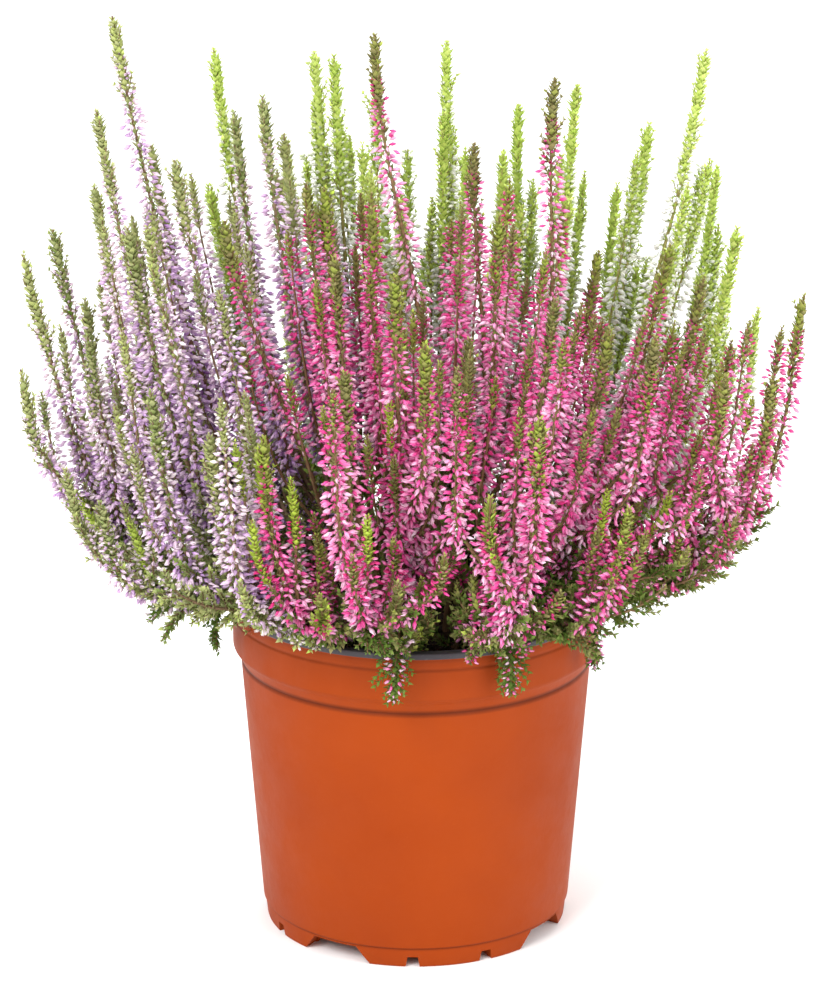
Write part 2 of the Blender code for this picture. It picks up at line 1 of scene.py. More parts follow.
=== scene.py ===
"""Potted heather: the looks of a mauve, a white and a magenta heather grown together in a nursery pot.

The layout of the stems is the solids' own, in millimetres. Every spray of solids is replaced by one piece
of the same stems with fine florets, leaves and twigs, and more stems between them.
"""

import json
import math
import random
from contextlib import contextmanager

import bmesh
import bpy
import numpy as np
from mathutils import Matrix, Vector, noise

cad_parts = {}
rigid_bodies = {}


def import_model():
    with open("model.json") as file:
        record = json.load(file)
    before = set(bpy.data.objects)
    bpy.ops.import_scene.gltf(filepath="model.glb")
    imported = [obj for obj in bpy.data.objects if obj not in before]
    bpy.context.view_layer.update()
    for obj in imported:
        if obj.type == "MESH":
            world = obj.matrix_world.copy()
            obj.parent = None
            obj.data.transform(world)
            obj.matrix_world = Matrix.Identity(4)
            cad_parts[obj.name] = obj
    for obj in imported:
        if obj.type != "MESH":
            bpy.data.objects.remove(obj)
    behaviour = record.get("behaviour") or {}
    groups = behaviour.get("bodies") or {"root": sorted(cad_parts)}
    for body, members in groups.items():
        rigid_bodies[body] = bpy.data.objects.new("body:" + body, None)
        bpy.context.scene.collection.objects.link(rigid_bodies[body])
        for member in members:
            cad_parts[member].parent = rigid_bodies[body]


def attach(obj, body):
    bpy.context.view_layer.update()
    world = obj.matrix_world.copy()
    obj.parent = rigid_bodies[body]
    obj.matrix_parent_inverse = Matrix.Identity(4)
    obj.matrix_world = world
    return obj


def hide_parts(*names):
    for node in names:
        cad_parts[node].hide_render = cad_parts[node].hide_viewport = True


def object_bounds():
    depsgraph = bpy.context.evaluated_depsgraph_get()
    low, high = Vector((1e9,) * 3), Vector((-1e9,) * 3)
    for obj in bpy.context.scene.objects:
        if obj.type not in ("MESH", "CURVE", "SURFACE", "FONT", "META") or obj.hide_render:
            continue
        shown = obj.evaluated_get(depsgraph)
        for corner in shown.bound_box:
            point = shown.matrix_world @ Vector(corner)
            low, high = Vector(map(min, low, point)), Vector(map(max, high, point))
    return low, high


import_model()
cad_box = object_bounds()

MM = 0.001
GAP = 0.3  # between solids that touch

# Pot
RIM_RADIUS, RIM_INNER, RIM_TOP = 65.2, 61.3, 120.3
LIP_HEIGHT, LIP_STEP = 1.9, 0.4
COLLAR_RADIUS, COLLAR_CREASE, CREASE_DEPTH, CREASE_HEIGHT = 64.8, 114.3, 0.3, 0.7
STEP_TOP, STEP_LEDGE, STEP_BOTTOM = 102.9, 101.5, 97.5
STEP_LEDGE_RADIUS, STEP_RADIUS = 63.6, 62.0
BASE_RADIUS, BASE_LINE, BASE_LEDGE = 55.0, 7.5, 0.3
WALL, INNER_CORNER, COLLAR_INNER_FOOT = 1.3, 1.5, 2.0
FLOOR_TOP, FLOOR_UNDER = 8.7, 6.9
FOOT_TOP_RADIUS, FOOT_BOTTOM_RADIUS, FOOT_INNER, FOOT_INNER_LEAN = 54.3, 53.6, 47.5, 1.0
FEET, FOOT_CENTRE_ANGLE = 4, 13.0
FOOT_GAP_WIDTHS, FOOT_GAP_TOP = (27.0, 17.4), 6.3
NOTCH_ANGLE, NOTCH_WIDTHS, NOTCH_TOP = 14.2, (4.9, 3.6), 3.9
CUTTER_BELOW, CUTTER_INSIDE, CUTTER_OUTSIDE = 1.0, 1.6, 3.0
DRAIN_HOLES, DRAIN_RADIUS, DRAIN_CIRCLE, DRAIN_DEPTH = 6, 3.6, 34.0, 6.0

# Soil
SOIL_TOP = 111.0
SOIL_GAP = GAP + 0.1  # a little more, because the wall has flat sides

# How the bush widens: at each height over the soil, the radius that the inner stems would fan out to
# and the radius of the outer stems, which lie over the rim. It is narrower front to back.
REACH_HEIGHTS = (0.0, 9.0, 13.5, 16.0, 19.0, 25.0, 35.0, 50.0, 80.0, 100.0, 140.0, 215.0)
INNER_RADII = (46.0, 51.0, 54.5, 56.5, 60.0, 66.0, 78.0, 94.0, 114.0, 124.0, 138.0, 156.0)
OUTER_RADII = (46.0, 51.5, 60.0, 74.0, 91.0, 108.0, 121.0, 130.0, 136.0, 138.0, 144.0, 156.0)
OUTER_FROM, OUTER_SPAN = 0.55, 0.4
DEPTH_SHARE, DEPTH_FULL_HEIGHT = 0.8, 50.0
ROOT_REACH, ROOT_SPACING = 48.0, 9.0
ROOT_FADE = 45.0
LEAN_FROM = 0.35
SHARE_MOST, SHARE_ROUNDS = 1.5, 40  # for the search for a stem's share of the radius

# Stems and spikes. A spike is bare at the soil, then leafy, then in flower, then leafy again to its tip.
STEM_RADIUS = 1.3
LEAVES_FROM, BLOOM_FROM = 6.0, 30.0
LEAF_RADIUS = 3.9
TIP_POINT, BLOOM_SWELL = 0.35, 25.0
SPRIG_RADIUS, SPRIG_POINT, SPRIG_TAPER = 3.4, 1.5, 6.0
FORK_SHARE, FORK_LOWEST = 0.3, 13.0
FORK_BLEND, FORK_BLEND_SHARE = 45.0, 0.8
SAMPLE, LINE_POINTS = 7.0, 60
SEED = 7

# Moving stems apart: the space left between two, how far off two are still compared, and the rounds
CLEAR, NEAR, SETTLE_ROUNDS, SETTLE_STEP = 1.0, 32.0, 90, 0.6
SPREAD_ROUNDS, SPREAD_STEP, NOT_ITSELF = 400, 0.4, 1e3
TIP_HOLD, RISE_SHARE = 0.7, 0.35  # tips hardly move sideways, and stems move little up or down
SOIL_HOLD, RIM_FROM = 2.0, 3.0
RIM_DEPTH, RIM_HALF = 2.0, 2.9
TINY, SMALL = 1e-9, 1e-6  # added to ways so that none is nought

# Each kind's spike: radius over the flowers, radius of the leafy tip and its length
KINDS = {
    "mauve": {"bloom": 4.8, "tip": 2.7, "tip_length": 38.0},
    "white": {"bloom": 4.3, "tip": 3.0, "tip_length": 46.0},
    "magenta": {"bloom": 5.4, "tip": 2.8, "tip_length": 24.0},
}

# Spray by spray, the tips of its spikes: right, back, height over the ground, and lean to the right
MAUVE = (
    ((-103, 5, 325, -6),),
    ((-107, -22, 298, -3),),
    ((-112, 22, 262, 0), (-126, 12, 249, -5)),
    ((-134, -12, 246, -8), (-134, -32, 211, -4), (-114, -30, 155, 0)),
    ((-93, 38, 273, -4),),
    ((-82, -8, 278, -4),),
    ((-96, -40, 262, -2), (-89, -46, 264, -2)),
    ((-63, 22, 288, 0), (-71, 52, 217, 0)),
    ((-52, -4, 299, -3),),
    ((-46, 30, 279, 0), (-49, 42, 263, 0)),
    ((-88, -62, 212, 0), (-84, -74, 153, 0)),
    ((-118, -50, 181, 0), (-106, -58, 172, 0), (-96, -48, 143, 0)),
    ((-68, -78, 202, 0), (-58, -86, 153, 0)),
    ((-130, 14, 169, 0), (-112, 4, 143, 0)),
    ((-102, 68, 209, 0), (-84, 86, 183, 0), (-72, 82, 149, 0)),
    ((-118, 42, 216, 0), (-122, 56, 173, 0), (-104, 34, 145, 0)),
)
WHITE = (
    ((-71, 48, 305, -3),),
    ((-36, 62, 302, -2), (-29, 58, 301, 0)),
    ((-12, 80, 249, -3),),
    ((-5, 36, 253, -2),),
    ((11, 58, 306, -5), (10, 50, 282, -1)),
    ((18, 84, 261, 0), (37, 70, 281, -10)),
    ((31, 44, 270, -8),),
    ((57, 52, 292, -4), (52, 56, 265, 0)),
    ((73, 76, 250, 0),),
    ((83, 58, 276, 2),),
    ((101, 36, 307, 6), (112, 18, 248, 0), (110, 30, 157, 0)),
    ((108, 62, 260, 0), (112, 54, 218, 0), (96, 60, 149, 0)),
    ((-48, 96, 217, 0), (-24, 104, 189, 0), (-40, 92, 149, 0)),
    ((14, 106, 223, 0), (42, 103, 187, 0), (16, 98, 147, 0)),
    ((76, 92, 227, 0), (100, 76, 191, 0), (66, 84, 151, 0)),
)
MAGENTA = (
    ((-14, 2, 319, -20),),
    ((20, 10, 280, -12),),
    ((47, -6, 306, -12),),
    ((-37, -22, 273, -4), (-31, -18, 271, 0)),
    ((-64, -34, 263, -14),),
    ((-15, -12, 262, 0),),
    ((88, 6, 245, 0), (98, -18, 239, 0)),
    ((134, -2, 229, 0), (118, 6, 161, 0)),
    ((121, -34, 209, 0), (104, -46, 212, 0), (106, -30, 145, 0)),
    ((-27, -52, 255, 0),),
    ((-7, -64, 252, 0), (3, -84, 234, 0)),
    ((28, -30, 264, -4), (18, -44, 225, 0)),
    ((46, -58, 242, 0),),
    ((64, 18, 240, 0),),
    ((65, -44, 228, 0), (79, -62, 230, 0), (92, -56, 155, 0)),
    ((-50, -86, 203, 0), (-32, -92, 151, 0)),
    ((-23, -92, 227, 0), (-6, -98, 157, 0)),
    ((40, -96, 212, 0), (24, -107, 189, 0), (48, -84, 149, 0)),
    ((70, -84, 178, 0), (84, -66, 145, 0)),
)
SPRAYS = {"mauve": MAUVE, "white": WHITE, "magenta": MAGENTA}

# Leafy sprigs over the rim: where each stands round the pot (0 is right, 90 is back), and its line
SPRIG_ANGLES = (-96, -64, -32, 4, 52, 98, 148, 196)
SPRIG_LINE = ((56.5, 113), (57.0, 122), (61.5, 128.1), (67.0, 128.5), (71.5, 123), (73.2, 114), (72.6, 105))
SPRIG_SAMPLE = 5.0


def smooth_step(x):
    x = np.clip(x, 0.0, 1.0)
    return x * x * (3 - 2 * x)


def reach(share, height):
    """The radius at a height of the stems that stand at a share of the bush's radius."""
    outer = smooth_step((share - OUTER_FROM) / OUTER_SPAN)
    inner_radius = np.interp(height, REACH_HEIGHTS, INNER_RADII)
    outer_radius = np.interp(height, REACH_HEIGHTS, OUTER_RADII)
    return share * ((1 - outer) * inner_radius + outer * outer_radius)


def depth_share(height):
    return 1 - (1 - DEPTH_SHARE) * smooth_step(np.asarray(height) / DEPTH_FULL_HEIGHT)


def share_of(radius, height):
    """The share of the bush's radius at which a stem reaches this radius at this height."""
    low, high = 0.0, SHARE_MOST
    for _ in range(SHARE_ROUNDS):
        middle = (low + high) / 2
        if reach(middle, height) < radius:
            low = middle
        else:
            high = middle
    return low


def fan_line(tip, heights):
    """The line on which the bush widens, through one tip. No two such lines cross."""
    x, y, z, lean = tip
    top = z - SOIL_TOP
    side, back = x - lean, y / depth_share(top)
    radius = math.hypot(side, back)
    share = share_of(radius, top)
    radii = reach(share, heights)
    along = smooth_step((heights / top - LEAN_FROM) / (1 - LEAN_FROM))
    return np.column_stack(
        (
            side / radius * radii + lean * along,
            back / radius * radii * depth_share(heights),
            SOIL_TOP + heights,
        )
    )


def along_line(line):
    """How far each point of a line is from its foot."""
    steps = np.linalg.norm(np.diff(line, axis=0), axis=1)
    return np.concatenate(([0.0], np.cumsum(steps)))


def even_points(line, spacing):
    """The same line with its points evenly apart."""
    along = along_line(line)
    count = max(4, int(round(along[-1] / spacing)) + 1)
    at = np.linspace(0.0, along[-1], count)
    return np.column_stack([np.interp(at, along, line[:, i]) for i in range(3)])


def spread_roots(roots):
    """Moves the roots apart in the soil, and keeps them inside the pot."""
    roots = roots.copy()
    for _ in range(SPREAD_ROUNDS):
        apart = roots[:, None] - roots[None]
        far = np.linalg.norm(apart, axis=2) + np.eye(len(roots)) * NOT_ITSELF
        push = np.clip(ROOT_SPACING - far, 0, None) / far
        roots += SPREAD_STEP * (apart * push[:, :, None]).sum(axis=1)
        out = np.linalg.norm(roots, axis=1)
        roots *= np.minimum(1.0, ROOT_REACH / out)[:, None]
    return roots


def rooted_line(tip, heights, shift):
    """The fan line through a tip, with its root shifted in the soil."""
    line = fan_line(tip, heights)
    line[:, :2] += shift * (1 - smooth_step(heights / ROOT_FADE))[:, None]
    return line


def forked_lines(tips, shift):
    """The first tip's line from the soil, and the others' from where they leave the first."""
    lines = []
    for number, tip in enumerate(tips):
        top = tip[2] - SOIL_TOP
        heights = np.linspace(0.0, top, LINE_POINTS)
        line = rooted_line(tip, heights, shift)
        if number:
            fork = max(FORK_SHARE * top, FORK_LOWEST)
            blend = min(FORK_BLEND, FORK_BLEND_SHARE * (top - fork))
            main = rooted_line(tips[0], heights, shift)
            own = smooth_step((heights - fork) / blend)[:, None]
            line = (main + (line - main) * own)[heights >= fork]
        lines.append(line)
    return lines


def spray_lines():
    """Every spray as a dict: its name, kind and the lines of its spikes, from the soil to the tips."""
    sprays = []
    for kind, members in SPRAYS.items():
        for number, tips in enumerate(members, 1):
            sprays.append({"name": f"{kind}_spray_{number:02d}", "kind": kind, "tips": tips})
    starts = np.array([fan_line(spray["tips"][0], np.array([0.0]))[0, :2] for spray in sprays])
    for spray, start, root in zip(sprays, starts, spread_roots(starts)):
        spray["lines"] = [even_points(line, SAMPLE) for line in forked_lines(spray["tips"], root - start)]
    for number, angle in enumerate(SPRIG_ANGLES, 1):
        turn = math.radians(angle)
        line = np.array([(r * math.cos(turn), r * math.sin(turn), z) for r, z in SPRIG_LINE])
        lines = [even_points(line, SPRIG_SAMPLE)]
        sprays.append({"name": f"leafy_sprig_{number:02d}", "kind": "sprig", "lines": lines})
    return sprays


def zone_radius(kind, height, to_tip):
    """How far leaves and flowers reach from the stem, by height over the soil and way to the tip."""
    if kind == "sprig":
        return SPRIG_POINT + (SPRIG_RADIUS - SPRIG_POINT) * np.clip(to_tip / SPRIG_TAPER, 0, 1)
    style = KINDS[kind]
    tip = style["tip"] * np.clip(TIP_POINT + to_tip / style["tip_length"], 0, 1)
    swell = np.clip((to_tip - style["tip_length"]) / BLOOM_SWELL, 0, 1)
    bloom = style["tip"] + (style["bloom"] - style["tip"]) * swell
    radius = np.where(to_tip < style["tip_length"], tip, bloom)
    radius = np.where(height < BLOOM_FROM, np.minimum(radius, LEAF_RADIUS), radius)
    return np.where(height < LEAVES_FROM, STEM_RADIUS, radius)


def off_the_pot(points, radii):
    """Moves points out of the pot's rim and wall, round the rim's middle."""
    flat = np.hypot(points[:, 0], points[:, 1])
    middle_r, middle_z = (RIM_RADIUS + RIM_INNER) / 2, RIM_TOP - RIM_DEPTH
    wanted = RIM_HALF + radii + CLEAR / 2
    dr, dz = flat - middle_r, points[:, 2] - middle_z
    away = np.hypot(dr, dz) + TINY
    lack = np.clip(wanted - away, 0, None)
    dr, dz = dr * (1 + lack / away), dz * (1 + lack / away)
    beside = points[:, 2] < RIM_TOP
    dr = np.where(beside & (dr < 0), np.minimum(dr, -wanted), dr)
    dr = np.where(beside & (dr > 0), np.maximum(dr, wanted), dr)
    scale = (middle_r + dr) / np.maximum(flat, TINY)
    points[:, 0] *= scale
    points[:, 1] *= scale
    points[:, 2] = middle_z + dz


def stacked(sprays):
    """All points of all lines in one table, with each point's radius, spray and share of its line."""
    places, radii, owner, share, first = [], [], [], [], []
    for index, spray in enumerate(sprays):
        for line in spray["lines"]:
            steps = np.linalg.norm(np.diff(line, axis=0), axis=1)
            to_tip = np.concatenate((np.cumsum(steps[::-1])[::-1], [0.0]))
            first.append(len(places))
            places.extend(line)
            radii.extend(zone_radius(spray["kind"], line[:, 2] - SOIL_TOP, to_tip))
            owner.extend([index] * len(line))
            share.extend(np.linspace(0, 1, len(line)))
    return np.array(places), np.array(radii), np.array(owner), np.array(share), first


def eased(moved, first):
    """Smooths the moves along each line, and leaves its two ends."""
    ends = np.array(first[1:] + [len(moved)]) - 1
    around = moved.copy()
    around[1:-1] = 0.5 * moved[1:-1] + 0.25 * (moved[:-2] + moved[2:])
    around[first] = moved[first]
    around[ends] = moved[ends]
    return around


def settle(sprays):
    """Moves the lines apart where two sprays would touch, mostly sideways and to the back."""
    start, radii, owner, share, first = stacked(sprays)
    over_soil = (start[:, 2] > SOIL_TOP + SOIL_HOLD).astype(float)[:, None]
    ways = (1 - TIP_HOLD * share**2, np.ones(len(share)), RISE_SHARE * (1 - share))
    free = over_soil * np.column_stack(ways)
    high = start[:, 2] > SOIL_TOP + RIM_FROM
    a, b = np.triu_indices(len(start), 1)
    near = (owner[a] != owner[b]) & (np.linalg.norm(start[a] - start[b], axis=1) < NEAR)
    a, b = a[near], b[near]
    moved = np.zeros_like(start)
    for _ in range(SETTLE_ROUNDS):
        points = start + moved
        apart = points[a] - points[b]
        far = np.linalg.norm(apart, axis=1) + SMALL
        lack = np.clip(radii[a] + radii[b] + CLEAR - far, 0, None) / far
        push = 0.5 * apart * lack[:, None]
        step = np.zeros_like(start)
        np.add.at(step, a, push)
        np.add.at(step, b, -push)
        points = points + SETTLE_STEP * step * free
        over_rim = points[high]
        off_the_pot(over_rim, radii[high])
        points[high] = over_rim
        moved = eased(points - start, first)
    take_back(sprays, start + moved)


def take_back(sprays, points):
    """Puts the moved points in the sprays' lines, and each fork's foot on its stem."""
    at = 0
    for spray in sprays:
        for number, line in enumerate(spray["lines"]):
            spray["lines"][number] = points[at : at + len(line)]
            at += len(line)
        main = spray["lines"][0]
        for line in spray["lines"][1:]:
            line[0] = main[np.linalg.norm(main - line[0], axis=1).argmin()]


def frame_arrays(line):
    """Side, across and forward at each point of a line, turned as little as possible on the way."""
    ways = np.gradient(line, axis=0)
    ways /= np.linalg.norm(ways, axis=1)[:, None]
    side = np.array([1.0, 0.0, 0.0])
    made = []
    for way in ways:
        side = side - way * (side @ way)
        side /= np.linalg.norm(side)
        made.append((side, np.cross(way, side), way))
    return tuple(np.array([one[i] for one in made]) for i in range(3))


# Fine pieces

# Places in the palette: every point has a place across (petal, leaf or stem, from its foot to its tip)
# and a shade, and the materials colour by these two.
PETAL, LEAFLET, BARK = (0.02, 0.47), (0.53, 0.72), (0.78, 0.98)
SHADE_LOW, SHADE_HIGH = 0.02, 0.98
BOX_LOW = np.array(cad_box[0]) / MM
BOX_HIGH = np.array(cad_box[1]) / MM
STEEP = 0.9  # the least upright part of a direction that counts as upright
SIZES = (0.8, 1.2)  # the least and the most that one leaf differs from its neighbours

# Florets: length, half the thickness, the least and the longest stalk, and the way from ring to ring
FLORET = {
    "mauve": {"length": 3.3, "thick": 0.78, "stalk": (0.3, 2.8), "pitch": 1.75, "ranks": 4},
    "white": {"length": 3.2, "thick": 0.86, "stalk": (0.3, 2.4), "pitch": 2.2, "ranks": 4},
    "magenta": {"length": 3.35, "thick": 0.72, "stalk": (0.3, 3.1), "pitch": 1.75, "ranks": 4},
}
FLORET_CORNERS, FLORET_FOOT = 4, 0.15
# Each ring of one floret: how far along, how wide, its place across the petal, and its turn in corners
FLORET_RINGS = ((0.5, 1.0, 0.55, 0.0), (1.0, 0.36, 1.0, 0.5))
FLORET_SIZES, BUD_SIZE, BUD_STALK = (0.82, 1.18), 0.62, 0.45
FLORET_LIFT, FLORET_DROOP, FLORET_WOBBLE = 0.42, 0.5, 0.46
FLORETS_MISSING, OLD_AFTER, LEAST_BLOOM = 0.06, 110, 4
BUD_ZONE = {"mauve": 24.0, "white": 34.0, "magenta": 24.0}
MINGLED = {"mauve": 8, "white": 20, "magenta": 6}  # how far the florets reach into the leafy tip
BRACT_SHARE, BRACT_DROP, BRACT_OUT = 0.2, 0.55, 0.5
BRACT_LENGTHS, BRACT_SHADES = (1.3, 2.0), (-0.15, 0.1)

# Rows of leaves on a stem: the way from ring to ring, length, how far they rise, and leaves in a ring
LEAVES = {
    "foot": (4.5, 2.6, 0.6, 3),
    "lush_foot": (2.0, 2.6, 0.6, 3),
    "in_bloom": (3.0, 2.3, 0.8, 3),
    "under_tip": (2.6, 2.9, 0.85, 3),
    "tip": (1.35, 4.1, 0.82, 4),
    "extra_tip": (1.35, 3.2, 0.82, 4),
    "shoot": (1.5, 3.1, 0.7, 4),
    "sprig": (1.3, 2.9, 0.7, 4),
}
# Rows of twigs (short side shoots): the way from one to the next, lengths, rise, and length of their leaves
TWIGS = {
    "foot": (3.3, (4.0, 8.0), 0.7, 3.4),
    "tip": (2.1, (2.6, 5.4), 0.98, 2.7),
    "shoot": (2.6, (3.0, 5.5), 0.8, 3.2),
    "sprig": (1.5, (3.5, 8.5), 0.7, 3.0),
}
LEAF_WOBBLE, LEAF_OUT, LEAF_SHADES = 0.22, 0.35, 0.09
RANK_DRIFT = 0.999  # each ring stands almost exactly between the ranks of the last
LIFT_WOBBLE = 0.7
SHRINK_OVER, SHRINK_FROM, SHRUNK = 8, 2, 0.45  # leaves shrink towards the tip
TWIG_PITCH, TWIG_RANKS, TWIG_RING_TURN, TWIG_RADII = 1.2, 3, 1.05, (0.4, 0.2)
TWIG_WOBBLE, TWIG_JITTER, TWIG_LEAST, TWIG_OF_REST = 0.45, 0.3, 2.5, 0.55
TWIG_BEND, TWIG_TURN, TWIG_LEAF_AIM, TWIG_FIRST = 0.35, 0.7, (0.72, 0.69), 0.2
LONG_TWIG, LONG_JOINTS, SHORT_JOINTS = 6, 5, 3
TWIG_SHRINK, TWIG_SHADES, TWIG_BRIGHTER = 0.3, 0.1, 0.08

# One stem, from its foot to its tip
FINE = 3.4  # spacing of points on a fine stem
BRANCH_RADIUS, TIP_RADIUS = 0.95, 0.3
STEM_SIDES, THIN_SIDES = 4, 3
BARE_WOOD, BARE_BRANCH = 5.0, 3.0
TIP_LENGTH = {"mauve": 28, "white": 46, "magenta": 20}
OWN_TIP, EXTRA_TIP = (0.75, 1.1), (0.3, 0.75)  # shares of that length
TIP_OF_BLOOM, TIP_NEEDS, SHORT_TIP = 0.42, 20, 10.0
LIME_LENGTH, LIME_TIP, LIME_OF_STEM = 22.0, (0.6, 1.2), 0.7
BARK_SHADES = (0.35, 0.75)
LUSH_FROM = 0.62  # stems beyond this share of the fan have leafy feet
CLOTHED = 80  # how far down from the leafy tip leaves stand among the florets
FRONT_HALF_ANGLE = 0.75
# Along the stem, where leaves and twigs begin and end against the flowers and the leafy tip
FOOT_TWIGS_OVER, TIP_LEAVES_UNDER, TIP_TWIGS_UNDER, TIP_TWIGS_END = 10, 5, 14, 6
# Heights over the soil where the flowers begin
BLOOM_FRONT, BLOOM_OUTER, BLOOM_INNER = (8, 28), (19, 38), (52, 82)
# On each kind's ramps: the bracts, the leafy foot, the leafy tip, and the florets (buds, in bloom, low
# down, spread)
LEAF_SHADE = {"mauve": 0.5, "white": 0.62, "magenta": 0.52}
FOOT_SHADE = {"mauve": 0.46, "white": 0.52, "magenta": 0.36, "sprig": 0.42}
TIP_SHADE = {"mauve": 0.58, "white": 0.86, "magenta": 0.66}
FLOWER_SHADES = {
    "mauve": (0.8, 0.74, 0.2, 0.3),
    "white": (0.56, 0.88, 0.97, 0.16),
    "magenta": (0.12, 0.4, 0.84, 0.36),
}
SHADE_NOISE = 0.04
# How stems differ in green, and their parts from each other
GREEN_SHADES, TIP_SHADES = (-0.08, 0.1), (-0.07, 0.07)
BLOOM_LEAVES_PALER, UNDER_TIP_DARKER, TIP_TWIGS_DARKER = 0.1, 0.1, 0.04

# More stems: in the free places of the fan, close to each tall white tip, and round the foot
EXTRA_SPACING, EXTRA_TRIES, EXTRA_REACH, EXTRA_LEAST = 0.098, 6000, 0.97, 55
EXTRA_NEIGHBOURS, NEIGHBOUR_ROOM = 3, 0.02
# How far the extra tips stay below their neighbours
EXTRA_LOWER = {"mauve": (6, 44), "white": (3, 30), "magenta": (14, 60)}
WHITE_COMPANIONS, COMPANIONS_FROM, COMPANION_LOWER, COMPANION_LOWEST = 2, 225, (14, 60), 0.4
COMPANION_ASIDE = (5, 4)
SKIRT_TIPS, SKIRT_SHARES, SKIRT_HEIGHTS = 106, (0.64, 0.93), (34, 122)
SKIRT_CROWDING = 0.24  # the stems round the foot stand closer together at the wide sides
BRANCH_POINTS, BRANCH_FROM, BRANCH_LOWEST = 50, 0.2, 12.0
# Short leafy shoots round the foot of a spray, and on the sprigs over the rim
FOOT_SHOOTS, SPRIG_SHOOTS, FOOT_SHOOT_LENGTHS = 8, 12, (13, 27)
SHOOT_FROM, SPRIG_SHOOT_FROM = (8, 58), (6, 12)
SHOOT_ASIDE, SPRIG_SHOOT_ASIDE = 0.9, 1.3
SHOOT_POINTS, SHOOT_RADII, SHOOT_BARK = 8, (0.6, 0.25), 0.4
SHOOT_RISE, SPRIG_SHOOT_RISE, HANGING_RISE = (0.2, 0.8), (0.7, 1.6), (-0.65, 0.1)
SPRIG_SHOOT_SIZE, HANGING_SIZE, RIM_ZONE = 0.8, 0.85, 4
SHOOT_CURVE, SHOOT_RISE_POWER = 0.25, 1.4
SHOOT_SHADES, SHOOT_TWIGS_PALER = (-0.15, 0.25), 0.05
SHOOT_LEAVES_FROM, TWIGS_END, SHOOT_BLOOM_FROM, SHOOT_BLOOM_END = 2, 3, 5, 1
FLOWERING_FOOT_Y, FLOWERING_SHARE, FLOWERING_PALE = -22, 0.5, 0.3
SPRIG_RADII, SPRIG_BARE, SPRIG_SHADE = (1.2, 0.3), 9, 0.24
FRONT_SPRIG_FROM, FRONT_SPRIG_PALE, FRONT_SPRIG_BLOOM, FRONT_SPRIG_END = -20, 0.45, 0.45, 2
ROOT_BELOW = 6.0  # how far a fine stem goes on into the soil

# The short tips that stand out in front: right, back and height over the ground
LIME_TIPS = (
    (-60, -70, 197), (-52, -78, 196), (-41, -84, 188), (-54, -86, 175), (-16, -96, 180), (-9, -60, 208),
    (-90, -30, 200), (-117, -20, 164), (-98, -46, 162), (64, -66, 179), (71, -62, 163), (86, -46, 172),
    (106, -10, 197),
)
OLIVE_TIPS = (
    (-35, -20, 239), (-28, -10, 242), (-21, 0, 246), (-16, -20, 239), (-7, -24, 238), (-4, -44, 229),
    (3, -56, 222), (18, -56, 224),
)
LOW_TIPS = (
    (2, -62, 146), (8, -60, 152), (14, -62, 162), (20, -58, 148), (26, -62, 158), (12, -50, 172),
    (22, -50, 178), (30, -54, 168), (-30, -58, 150), (-22, -62, 158), (66, -44, 158), (76, -36, 164),
    (-78, -34, 160), (70, -42, 141), (80, -34, 137), (88, -22, 140), (94, -8, 143), (84, -12, 135),
    (76, -26, 132), (98, 2, 147), (90, -30, 150), (100, -14, 156), (12, -57, 131), (17, -60, 135),
    (10, -50, 137), (20, -54, 133), (15, -46, 150), (14, -52, 142),
)
# With each group, the shade of its leafy tips, or False where a tip is as on any stem of its kind
SHORT_TIPS = ((LIME_TIPS, 0.93), (OLIVE_TIPS, 0.62), (LOW_TIPS, False))


def floret_shape(kind):
    """One nearly closed floret along +X: a slim bell that ends in four separate points."""
    size = FLORET[kind]
    points, across = [(0.0, 0.0, 0.0)], [FLORET_FOOT]
    for along, wide, place, turned in FLORET_RINGS:
        for corner in range(FLORET_CORNERS):
            turn = math.tau * (corner + turned) / FLORET_CORNERS
            flat = size["thick"] * wide
            points.append((size["length"] * along, flat * math.cos(turn), flat * math.sin(turn)))
            across.append(place)
    faces = []
    for corner in range(FLORET_CORNERS):
        middle, after = 1 + corner, 1 + (corner + 1) % FLORET_CORNERS
        faces += [(0, after, middle), (middle, after, middle + FLORET_CORNERS)]
    return np.array(points, float), np.array(faces), np.array(across)


def leaf_shape():
    """A folded scale leaf along +X, one long, with its hollow towards +Z."""
    points = ((0, 0, 0), (0.45, 0.27, 0.16), (0.45, -0.27, 0.16), (1, 0, 0.1))
    faces = ((0, 3, 1), (0, 2, 3))
    return np.array(points, float), np.array(faces), np.array((0.0, 0.5, 0.5, 1.0))


LEAF_SHAPE = leaf_shape()
FLORET_SHAPES = {kind: floret_shape(kind) for kind in FLORET}


